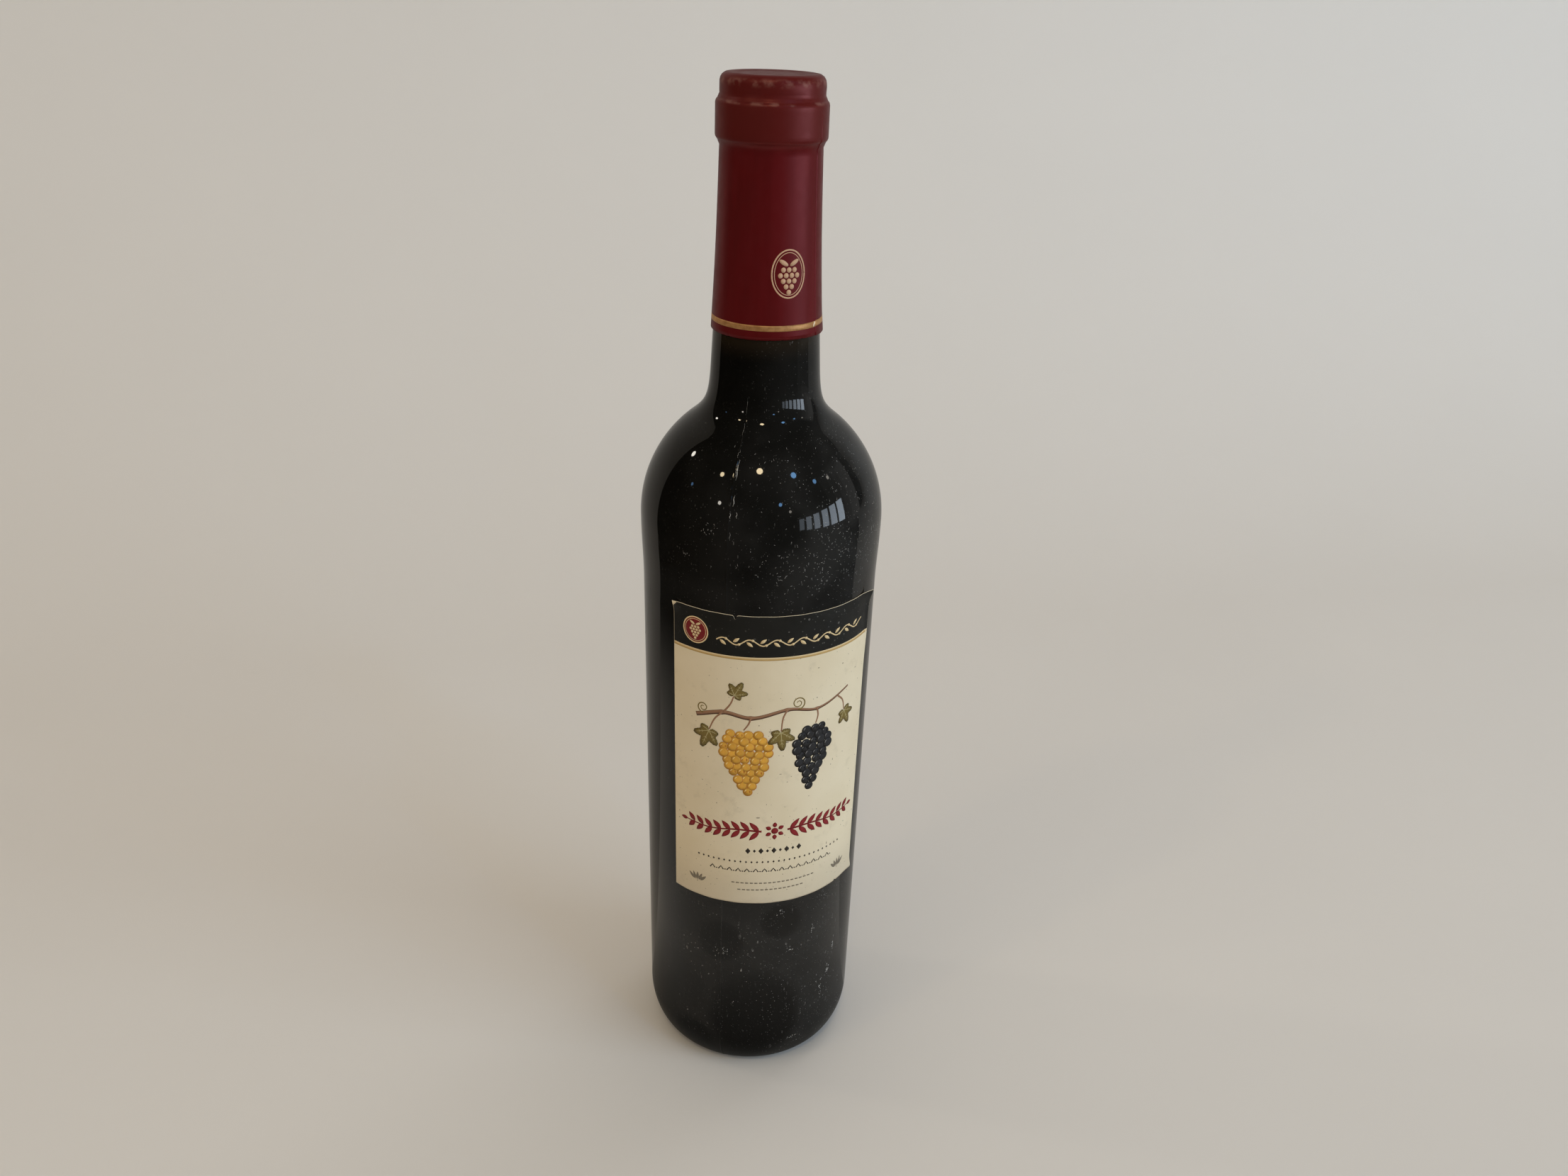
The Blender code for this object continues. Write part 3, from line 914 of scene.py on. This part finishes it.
class Print:
    """Shapes in mm on a flat sheet, gathered into one mesh with a colour at each corner."""

    def __init__(self, place):
        self.place = place
        self.points = []
        self.faces = []
        self.inks = []

    def add(self, flat, faces, inks, layer):
        first = sum(len(part) for part in self.points)
        self.points.append(self.place(flat[:, 0] * MM, flat[:, 1] * MM, INK_BASE + layer * INK_LAYER))
        self.faces += [tuple(first + corner for corner in face) for face in faces]
        self.inks += inks

    def blob(self, middle, outline, inner, outer, layer):
        """A shape whose outline can be seen from its middle, shaded from the middle outwards."""
        middle, outline = np.array(middle), np.array(outline)
        rings = max(1, int(np.abs(outline).max() / 1.4) + 1)
        count = len(outline)
        flat = [[middle]]
        inks = [inner]
        for ring in range(1, rings + 1):
            share = ring / rings
            flat.append(middle + outline * share)
            inks += [tuple(start + (end - start) * share**2 for start, end in zip(inner, outer))] * count
        faces = [(1 + side, 1 + (side + 1) % count, 0) for side in range(count)]
        for ring in range(rings - 1):
            start = 1 + ring * count
            for side in range(count):
                far = (side + 1) % count
                faces.append((start + side, start + count + side, start + count + far, start + far))
        self.add(np.vstack(flat), faces, inks, layer)

    def disc(self, middle, radius, inner, layer, sides=20, outer=None):
        outline = oval(radius, radius, np.arange(sides) * tau / sides)
        self.blob(middle, outline, inner, outer or inner, layer)

    def lozenge(self, middle, half_width, half_height, ink, layer):
        corners = np.array(((half_width, 0.0), (0.0, half_height), (-half_width, 0.0), (0.0, -half_height)))
        ends = np.roll(corners, -1, axis=0)
        outline = [
            start + (end - start) * part for start, end in zip(corners, ends) for part in (0.0, 0.5)
        ]
        self.blob(middle, outline, ink, ink, layer)

    def ribbon(self, line, widths, ink, layer):
        """A stroke along a line, with a width at each of its points."""
        line = np.array(line)
        count = len(line)
        step = np.gradient(line, axis=0)
        step /= np.maximum(np.linalg.norm(step, axis=1), 1e-9)[:, None]
        side = np.stack((-step[:, 1], step[:, 0]), axis=1) * np.array(widths)[:, None] / 2
        faces = [(spot, spot + 1, count + spot + 1, count + spot) for spot in range(count - 1)]
        self.add(np.concatenate((line - side, line + side)), faces, [ink] * (2 * count), layer)

    def ring(self, middle, half_width, half_height, width, ink, layer):
        line = middle + oval(half_width, half_height, np.linspace(0.0, tau, 73))
        self.ribbon(line, np.full(73, width), ink, layer)

    def field(self, left, right, bottom, top, ink, layer):
        """A plain rectangle, cut finely enough to follow the face."""
        columns = max(2, int((right - left) / 1.2) + 1)
        rows = max(2, int((top - bottom) / 1.2) + 1)
        across, height = np.meshgrid(np.linspace(left, right, columns), np.linspace(top, bottom, rows))
        flat = np.stack((across.ravel(), height.ravel()), axis=1)
        self.add(flat, grid_faces(rows, columns), [ink] * len(flat), layer)

    def finish(self, name, material):
        made = new_object(name, np.vstack(self.points), self.faces, material)
        inks = made.data.color_attributes.new("ink", "FLOAT_COLOR", "POINT")
        inks.data.foreach_set("color", [part for ink in self.inks for part in (*ink, 1.0)])
        return thickened(made)


def wavy_line(points, steps=24):
    """A smooth line through a few points."""
    points = np.array(points, float)
    padded = np.vstack((2 * points[0] - points[1], points, 2 * points[-1] - points[-2]))
    share = np.arange(steps)[:, None] / steps
    parts = []
    for index in range(1, len(padded) - 2):
        before, start, end, after = padded[index - 1 : index + 3]
        square = (2 * before - 5 * start + 4 * end - after) * share**2
        cube = (3 * start - before - 3 * end + after) * share**3
        parts.append(0.5 * (2 * start + (end - before) * share + square + cube))
    return np.vstack((*parts, points[-1]))


def taper(count, start, end, swell=0.0):
    share = np.linspace(0.0, 1.0, count)
    return start + (end - start) * share + swell * np.sin(share * pi)


def berry(sheet, middle, radius, body, rim, light, layer):
    """One round grape: a dark rim, a shaded body and a small curved light."""
    sheet.disc(middle, radius, rim, layer)
    inside = (middle[0] - 0.05 * radius, middle[1] + 0.05 * radius)
    sheet.disc(inside, 0.90 * radius, body, layer + 1, outer=shaded(body, 0.72))
    arc = oval(0.58 * radius, 0.58 * radius, np.linspace(radians(105), radians(185), 9)) + middle
    sheet.ribbon(arc, taper(9, 0.03, 0.03, 0.17 * radius), light, layer + 2)


def bunch(sheet, top, rows, radius, lean, inks, layer, seed):
    """A hanging bunch: rows of grapes, each row set between those above it."""
    chance = random.Random(seed)
    body, rim, light = inks
    for row, count in enumerate(rows):
        for place in range(count):
            across = top[0] + (place - (count - 1) / 2) * radius * 1.7 + lean * row
            height = top[1] - row * radius * 1.42
            spot = (across + chance.uniform(-0.3, 0.3), height + chance.uniform(-0.3, 0.3))
            size = radius * chance.uniform(0.9, 1.08)
            shade = shaded(body, chance.uniform(0.86, 1.08))
            berry(sheet, spot, size, shade, rim, light, layer + 3 * ((row + place) % 2))


def vine_leaf(sheet, middle, size, turn, layer):
    """A lobed, toothed leaf with its veins; the turn points to its tip."""
    angles = np.linspace(0.0, tau, 132, endpoint=False)
    lobes = ((0.0, 1.0), (1.08, 0.86), (-1.08, 0.86), (2.12, 0.62), (-2.12, 0.62))
    reach = np.full(len(angles), 0.44)
    for lobe, length in lobes:
        reach = np.maximum(reach, 0.44 + (length - 0.44) * hump(turn_difference(angles, lobe), 0.0, 0.36))
    reach = reach * (1.0 - 0.62 * hump(np.abs(turn_difference(angles, pi)), 0.0, 0.24))
    reach = size * (reach + 0.035 * np.abs(np.sin(16.5 * angles)))
    outline = oval(reach, reach, angles + turn)
    sheet.blob(middle, outline, LEAF_RIM, LEAF_RIM, layer)
    sheet.blob(middle, outline * 0.93, LEAF, shaded(LEAF, 0.78), layer + 1)
    aside = oval(1.0, 1.0, turn + pi / 2)
    base = middle - 0.2 * size * oval(1.0, 1.0, turn)
    for lobe, length in lobes:
        tip = middle + 0.82 * size * length * oval(1.0, 1.0, turn + lobe)
        vein = wavy_line((base, (base + tip) / 2 + 0.03 * size * aside * np.sign(lobe), tip), 6)
        sheet.ribbon(vein, taper(len(vein), 0.05 * size, 0.015 * size), LEAF_VEIN, layer + 2)
        for share in (0.45, 0.68):
            start = base + (tip - base) * share
            for side in (-0.75, 0.75):
                end = start + 0.16 * size * length * oval(1.0, 1.0, turn + lobe + side)
                sheet.ribbon((start, (start + end) / 2, end), (0.16, 0.12, 0.08), LEAF_VEIN, layer + 2)


def tendril(sheet, start, reach, turns, layer):
    """A curling thread that winds in on itself."""
    share = np.linspace(0.0, 1.0, 60)
    size = reach * (1.0 - 0.8 * share)
    middle = (start[0], start[1] + reach)
    sheet.ribbon(middle + oval(size, size, share * turns * tau - pi / 2), taper(60, 0.42, 0.22), LEAF, layer)


def make_vine_print(surface, ink):
    """A vine branch with a golden and a dark bunch hanging from it."""
    sheet = Print(surface.label)
    cane = wavy_line(((-26, 143.5), (-17, 146.2), (-8, 145.0), (3, 147.6), (13, 146.2), (25, 150.0)))
    knots = 0.35 * sum(hump(cane[:, 0], middle, 0.7) for middle in (-17.5, -8.5, 2.5, 12.5))
    sheet.ribbon(cane, taper(len(cane), 1.5, 0.6, 0.2) + knots, CANE_DARK, 1)
    sheet.ribbon(cane + (0.0, 0.14), taper(len(cane), 0.95, 0.3, 0.15) + knots, CANE, 2)
    for stalk in (
        ((-8.5, 145.0), (-9.2, 142.8), (-10.6, 140.6)), ((12.5, 146.2), (12.9, 143.6), (12.2, 141.0)),
        ((-17.5, 146.0), (-19.8, 143.2), (-21.5, 139.2)), ((2.5, 147.5), (1.3, 144.6), (0.9, 140.2)),
        ((-17.0, 146.2), (-14.8, 149.4), (-13.8, 152.2)), ((20.5, 148.0), (22.8, 145.6), (23.7, 141.9)),
    ):
        line = wavy_line(stalk, 8)
        sheet.ribbon(line, taper(len(line), 0.62, 0.4), CANE, 3)
    golden, night = (GOLDEN, AMBER, PALE_GOLD), (NIGHT, NIGHT_RIM, NIGHT_LIGHT)
    bunch(sheet, (12.0, 139.4), (3, 4, 5, 5, 4, 4, 3, 2, 2, 1), 1.62, -0.12, night, 4, 7)
    bunch(sheet, (-10.4, 139.0), (4, 5, 6, 6, 5, 5, 4, 3, 2, 1), 1.62, 0.14, golden, 10, 3)
    for middle, size, turn in (
        ((-22.0, 137.6), 5.6, -112), ((0.9, 138.6), 5.4, -84), ((24.2, 140.6), 4.6, -66),
        ((-13.2, 153.4), 4.2, 62),
    ):
        vine_leaf(sheet, middle, size, radians(turn), 17)
    tendril(sheet, (6.0, 147.2), 2.3, 1.7, 4)
    tendril(sheet, (-23.6, 144.6), 1.9, -1.6, 4)
    return sheet.finish("label_vine_print", ink)


def pointed_leaf(sheet, stem, length, width, turn, inner, layer, outer=None):
    """A slim leaf that grows from its stem point."""
    share = np.linspace(0.0, 1.0, 10)
    half = width / 2 * np.sin(share * pi) ** 0.8 * (1.15 - 0.35 * share)
    along = np.concatenate((share, share[-2:0:-1])) * length - length / 2
    aside = np.concatenate((-half, half[-2:0:-1]))
    ahead = oval(1.0, 1.0, turn)
    across = oval(1.0, 1.0, turn + pi / 2)
    outline = along[:, None] * ahead + aside[:, None] * across
    sheet.blob(stem + length / 2 * ahead, outline, inner, outer or inner, layer)


def make_title_print(surface, ink):
    """A crimson garland across the sheet, with plain small ornaments in rows under it."""
    sheet = Print(surface.label)
    level = GARLAND_LEVEL
    for side in (-1, 1):
        knots = ((4.2, 0.0), (12, 0.5), (21, -0.4), (29.5, 0.0))
        stem = wavy_line([(side * across, level + rise) for across, rise in knots])
        sheet.ribbon(stem, taper(len(stem), 0.75, 0.35), CRIMSON, 1)
        for place in range(8):
            start = (side * (5.0 + 3.05 * place), level + 0.3 * sin(place))
            length = 4.7 - 0.16 * place
            for lean in (radians(-48), radians(48)):
                turn = lean if side > 0 else pi - lean
                pointed_leaf(sheet, start, length, 1.75, turn, CRIMSON_LIGHT, 2, CRIMSON)
        turn = 0.0 if side > 0 else pi
        pointed_leaf(sheet, (side * 29.2, level), 2.6, 1.4, turn, CRIMSON_LIGHT, 2, CRIMSON)
    sheet.disc((0.0, level), 1.15, CRIMSON_LIGHT, 2, 28, CRIMSON)
    for petal in range(6):
        turn = tau * petal / 6 + tau / 12
        start = (0.0, level) + oval(1.35, 1.35, turn)
        pointed_leaf(sheet, start, 2.0, 1.5, turn, CRIMSON_LIGHT, 3, CRIMSON)

    for place in range(-4, 5):
        wide = place % 2 == 0
        size = (0.85, 1.15) if wide else (0.5, 0.65)
        sheet.lozenge((2.1 * place, LOZENGE_LEVEL), *size, SOOT, 1)
    for place in range(-14, 15):
        sheet.lozenge((1.78 * place, DOT_LEVEL), 0.36, 0.46, SOOT, 1)
    level = ZIGZAG_LEVEL
    for place in range(-7, 8):
        across = 2.85 * place
        tooth = ((across - 0.85, level), (across, level + 1.2), (across + 0.85, level))
        sheet.ribbon(tooth, (0.4, 0.4, 0.4), SOOT, 1)
        sheet.disc((across + 1.42, level + 0.2), 0.24, SOOT, 1, 10)
    for level, half in FINE_ROWS:
        for place in range(int(half / 1.5) * 2 + 1):
            across = -half + 1.5 * place
            sheet.field(across, across + 1.0, level - 0.35, level + 0.1, STONE, 1)
    level = CORNER_LEVEL
    for middle in (-25.4, 25.4):
        stem = ((middle - 5.0, level), (middle, level - 0.2), (middle + 5.0, level))
        sheet.ribbon(stem, (0.2, 0.34, 0.2), STONE, 1)
        for place in range(-2, 3):
            start = (middle + 0.5 * place, level + 0.2)
            pointed_leaf(sheet, start, 3.1, 1.0, radians(90 - 22 * place), STONE, 2)
    return sheet.finish("label_title_print", ink)


def grape_motif(sheet, middle, size, ink, layer):
    """A small stylised bunch of dots under a leaf-like pair."""
    for row, count in enumerate((3, 4, 3, 2, 1)):
        for place in range(count):
            across = middle[0] + (place - (count - 1) / 2) * 2.1 * size
            height = middle[1] + (1.6 - row) * 1.85 * size
            sheet.disc((across, height), 0.88 * size, ink, layer, 16)
    along, out = oval(1.9 * size, 0.75 * size, np.arange(16) * tau / 16).T
    for side in (-1, 1):
        outline = np.stack((side * (along * 0.86 - out * 0.5), along * 0.5 + out * 0.86), axis=1)
        sheet.blob((middle[0] + side * 2.0 * size, middle[1] + 5.3 * size), outline, ink, ink, layer)


def make_gold_print(surface, ink):
    """The double line under the band, a running scroll on it and a small roundel."""
    sheet = Print(surface.label)
    half = LABEL_WIDTH / MM / 2 - 0.1
    edge = BAND_BOTTOM / MM
    sheet.field(-half, half, edge - 0.45, edge + 0.05, PALE_LINE, 2)
    sheet.field(-half, half, edge - 1.0, edge - 0.45, OCHRE, 2)
    badge = (BADGE_ACROSS, BAND_LEVEL)
    sheet.disc(badge, 4.0, CRIMSON, 2, 48)
    sheet.ring(badge, 4.2, 4.2, 0.4, PALE_LINE, 3)
    sheet.ring(badge, 3.55, 3.55, 0.16, PALE_LINE, 3)
    grape_motif(sheet, (badge[0], BAND_LEVEL - 0.5), 0.5, PALE_LINE, 3)
    wave = np.linspace(SCROLL_START, SCROLL_END, 280)
    level = BAND_LEVEL - 1.4
    scroll = level + 0.95 * np.sin((wave - SCROLL_START) * tau / SCROLL_PITCH)
    sheet.ribbon(np.stack((wave, scroll), axis=1), np.full(280, 0.4), PALE_LINE, 2)
    for place in range(12):
        across = SCROLL_START + 2.0 + SCROLL_PITCH / 2 * place
        up = 1 if place % 2 else -1
        stem = (across - 0.9, level - 0.15 * up)
        pointed_leaf(sheet, stem, 2.4, 1.0, radians(38) * up, PALE_LINE, 3)
        sheet.disc((across + 0.9, level - 0.75 * up), 0.42, PALE_LINE, 3, 14)
    return sheet.finish("label_gold_print", ink)


def make_capsule_print(surface, ink):
    """An oval medallion with a bunch of grapes, in rose gold, and a painted glint on the gold line where the
    sleeve overlaps.
    """
    sheet = Print(surface.capsule)
    middle = (MEDALLION_BEARING * NECK_BASE_RADIUS / MM, MEDALLION_HEIGHT / MM)
    sheet.ring(middle, 5.1, 6.5, 0.42, ROSE_GOLD, 1)
    sheet.ring(middle, 4.35, 5.75, 0.2, ROSE_GOLD, 1)
    grape_motif(sheet, (middle[0], middle[1] - 1.3), 0.82, ROSE_GOLD, 1)
    fold = OVERLAP_BEARING * NECK_BASE_RADIUS / MM
    low, high = GOLD_LINE_BOTTOM / MM, GOLD_LINE_TOP / MM
    # The pale stroke is a painted highlight on the gold line where the sleeve overlaps
    rubbed = [(fold - 1.0 + 0.9 * share, low + (high - low) * share) for share in (0.06, 0.35, 0.65, 0.94)]
    sheet.ribbon(rubbed, [0.3, 0.55, 0.55, 0.3], GOLD_GLINT_PAINT, 4)
    return sheet.finish("capsule_medallion", ink)


def make_gold_line(surface, gold):
    """The gold line round the sleeve, set off a little where the sleeve overlaps."""
    bearings = column_bearings(CAPSULE_COLUMNS, (OVERLAP_BEARING,), [0.0, -0.0015, 0.008])
    share = np.linspace(1.0, 0.0, 4)[:, None]
    past = turn_difference(bearings, OVERLAP_BEARING)
    shift = 0.18 * MM * (past >= 0) * (1.0 - smooth_step(past, 0.0, 1.6))
    height = GOLD_LINE_BOTTOM + (GOLD_LINE_TOP - GOLD_LINE_BOTTOM) * share + shift[None, :]
    across = bearings[None, :] * NECK_BASE_RADIUS + 0.0 * height
    points = surface.capsule(across, height, INK_BASE).reshape(-1, 3)
    return thickened(new_object("capsule_gold_line", points, grid_faces(4, len(bearings), wrap=True), gold))


# Scuffs, lint, specks and the painted glints on the seam

def scuff(sheet, chance, middle, size, inner=CHALK_AND_GLINT, outer=CHALK_DIM, layer=1):
    """A small ragged fleck."""
    reach = size * chance.uniform(0.25, 1.0, 7)
    lean = chance.uniform(0.45, 1.1)
    sheet.blob(middle, oval(lean * reach, reach, np.arange(7) * tau / 7), inner, outer, layer)


def hair(sheet, chance, middle, length):
    """A short bent thread."""
    turn = chance.uniform(0.0, pi)
    heading = turn + chance.uniform(-1.2, 1.2) * np.linspace(-0.5, 0.5, 6)
    step = length * chance.uniform(0.5, 1.0) / 5
    sheet.ribbon(np.cumsum(oval(step, step, heading), axis=0) + middle, [0.075] * 6, LINT_COLOR, 1)


def make_paper_specks(surface, ink):
    """Fine dark specks on the bare paper, under the print."""
    chance = np.random.default_rng(MARK_SEED + 1)
    sheet = Print(surface.label)
    reach = LABEL_WIDTH / MM / 2 - 1.0
    for _ in range(PAPER_SPECKS):
        middle = (chance.uniform(-reach, reach), chance.uniform(77.0, 164.0))
        scuff(sheet, chance, middle, chance.uniform(0.08, 0.24), SPECK, SPECK_RIM, 0)
    return sheet.finish("label_specks", ink)


def make_glass_marks(surface, marks):
    """The scuffs on the lower body and the lint on the shoulder, in clusters."""
    chance = np.random.default_rng(MARK_SEED)
    sheet = Print(surface.glass)
    for clusters, draw in ((SCUFFS, scuff), (LINT, hair)):
        for bearing, level, wide, high, count, size in clusters:
            across = radians(bearing) * SHOULDER_RADIUS / MM
            for _ in range(count):
                spread = chance.normal(0.0, 0.5, 2) * (wide, high)
                draw(sheet, chance, (across, level) + spread, size * chance.uniform(0.5, 1.15))
    return sheet.finish("glass_marks", marks)


def make_painted_seam_glints(surface, marks):
    """Painted highlights: pale glints of lamp light along the seam over the shoulder."""
    sheet = Print(surface.seam)
    # Each stroke is a painted glint, in the same chalk colour as the real scuffs
    share = np.linspace(0.0, 1.0, 12)
    for bearing, low, high, width in SEAM_PAINTED_GLINTS:
        across = radians(bearing) * SHOULDER_RADIUS / MM
        line = np.stack((across + 0.12 * np.sin(9 * share + low), low + (high - low) * share), axis=1)
        sheet.ribbon(line, width * np.sin(pi * (0.08 + 0.84 * share)), CHALK_AND_GLINT, 1)
    return sheet.finish("seam_marks", marks)


# Stage, lights and camera

def new_backdrop(name, points, faces, material, seen_in_gloss=False):
    """A backdrop that is either seen directly or only in reflections."""
    made = new_object(name, points, faces, material)
    made.visible_glossy = seen_in_gloss
    made.visible_camera = not seen_in_gloss
    made.visible_diffuse = not seen_in_gloss
    made.visible_shadow = not seen_in_gloss
    made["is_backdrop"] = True


def make_table(shown, reflected):
    """The floor, and what the glass reflects of it before and behind the bottle."""
    reach, back, level = STAGE_REACH, SWEEP_START, TABLE_COPY_STEP
    corners = [(-reach, -2 * reach, 0.0), (reach, -2 * reach, 0.0), (reach, back, 0.0), (-reach, back, 0.0)]
    new_backdrop("table", corners, [(0, 1, 2, 3)], shown)
    angles = np.linspace(WALL_START_BEARING, pi / 2, 121)
    points = np.vstack(((0.0, 0.0, level), around(TABLE_FADE_END, angles, level)))
    faces = [(0, side, side + 1) for side in range(1, len(angles))]
    new_backdrop("table_reflected", points, faces, fading_table_material(), True)
    start = SWEEP_START * tan(pi + WALL_START_BEARING)
    corners = [(0.0, 0.0, level), (reach, 0.0, level), (reach, back, level), (-start, back, level)]
    new_backdrop("floor_reflected", corners, [(0, 1, 2, 3)], reflected, True)


def make_stage():
    """A pale table that sweeps up into a pale wall, so that no line shows behind the bottle.

    The glass reflects a dimmer copy of it, from one bearing on; the rest of the room is dark."""
    pale = stage_material("pale_stage", PALE_STAGE)
    dim = stage_material("dim_stage", shaded(PALE_STAGE, REFLECTED_SHARE))
    make_table(pale, dim)
    angles = np.linspace(0.0, pi / 2, 40)
    for name, material, step, mirrored in (
        ("wall", pale, 0.0, False), ("wall_reflected", dim, REFLECTED_STEP, True),
    ):
        depth = SWEEP_START - step + SWEEP_RADIUS * np.sin(angles)
        height = step + SWEEP_RADIUS * (1.0 - np.cos(angles))
        depth, height = np.append(depth, depth[-1])[::-1], np.append(height, WALL_TOP)[::-1]
        left = -depth * tan(pi + WALL_START_BEARING) if mirrored else -STAGE_REACH + 0.0 * depth
        points = [
            (x, back, up) for start, back, up in zip(left, depth, height) for x in (start, STAGE_REACH)
        ]
        new_backdrop(name, points, grid_faces(len(depth), 2), material, mirrored)


def stand_at(bearing, rise, distance):
    """A place by its bearing from the camera's side, its angle above the table and its distance."""
    place = around(distance * cos(radians(rise)), radians(bearing) + CAMERA_BEARING, 0.0)
    return Vector(place) + Vector((0.0, 0.0, AIM_HEIGHT + distance * sin(radians(rise))))


def new_light(name, kind, place, power, color, seen_in_gloss=True):
    light = bpy.data.lights.new(name, kind)
    light.energy = power
    light.color = color
    made = bpy.data.objects.new(name, light)
    made.location = place
    made.rotation_mode = "QUATERNION"
    made.rotation_quaternion = (Vector((0.0, 0.0, AIM_HEIGHT)) - place).to_track_quat("-Z", "Y")
    made.visible_glossy = seen_in_gloss
    bpy.context.scene.collection.objects.link(made)
    return light


def new_panel(name, place, width, height, power, color, seen_in_gloss=True):
    light = new_light(name, "AREA", place, power, color, seen_in_gloss)
    light.shape = "RECTANGLE"
    light.size = width
    light.size_y = height


def make_lights():
    """Soft daylight from the right, a warm room, and the small lamps that sparkle on the glass."""
    world = bpy.data.worlds.new("soft_room")
    world.use_nodes = True
    sky = world.node_tree.nodes["Background"]
    sky.inputs["Color"].default_value = ROOM_LIGHT
    sky.inputs["Strength"].default_value = ROOM_STRENGTH
    world.cycles_visibility.glossy = False
    bpy.context.scene.world = world
    for name, (bearing, rise, distance, *values) in PANELS.items():
        new_panel(name, stand_at(bearing, rise, distance), *values, False)
    for index, (bearing, width) in enumerate(SIDE_GLOWS):
        place = stand_at(bearing, 12, LAMP_DISTANCE)
        new_panel(f"side_glow_{index}", place, width, 1.2 + 0.6 * width, 0.6 * width, GLOW_COLOR)
    for index, bearing in enumerate(WINDOW_BEARINGS):
        place = stand_at(bearing, 4.5, WINDOW_DEPTH / sin(radians(bearing)))
        new_panel(f"window_{index}", place, 0.32, 0.66, 1.8 + 0.85 * index, WINDOW_COLOR)
    for index, (bearing, rise, color, radius, power) in enumerate(LAMPS):
        place = stand_at(bearing, rise, LAMP_DISTANCE)
        lamp = new_light(f"lamp_{index}", "POINT", place, 1.2 * power, color)
        lamp.shadow_soft_size = radius


def make_camera():
    camera = bpy.data.objects.new("camera", bpy.data.cameras.new("camera"))
    camera.data.sensor_width = SENSOR_WIDTH
    camera.data.lens = FOCAL_LENGTH
    camera.data.clip_start = 0.01
    turn = Matrix.Rotation(CAMERA_BEARING, 4, "Z")
    pan, tilt = Matrix.Rotation(-CAMERA_PAN, 4, "Z"), Matrix.Rotation(pi / 2 - CAMERA_TILT, 4, "X")
    stand = Matrix.Translation(turn @ Vector((0.0, -CAMERA_DISTANCE, CAMERA_HEIGHT)))
    camera.matrix_world = stand @ turn @ pan @ tilt @ Matrix.Rotation(CAMERA_ROLL, 4, "Z")
    bpy.context.scene.collection.objects.link(camera)
    bpy.context.scene.camera = camera


def main():
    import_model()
    bpy.context.scene.view_settings.view_transform = "Standard"
    make_camera()
    make_lights()
    make_stage()

    profile = glass_profile(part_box("bottle")[1].z)
    surface = Surface(profile)
    ink = ink_material()
    marks = mark_material()
    pieces = (
        (make_glass(profile), "dark_glass", "bottle"),
        (make_glass_marks(surface, marks), "dark_glass", None),
        (make_painted_seam_glints(surface, marks), "dark_glass", None),
        (make_capsule(profile), "burgundy_capsule", "capsule"),
        (make_gold_line(surface, gold_material()), "burgundy_capsule", None),
        (make_capsule_print(surface, ink), "burgundy_capsule", None),
        (make_paper(surface), "label_paper", "label"),
        (make_paper_specks(surface, ink), "label_paper", None),
        (make_gold_print(surface, ink), "label_paper", None),
        (make_vine_print(surface, ink), "label_paper", None),
        (make_title_print(surface, ink), "label_paper", None),
    )
    for piece, slot, node in pieces:
        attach(piece, "root")
        if node:
            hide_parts(node)


main()
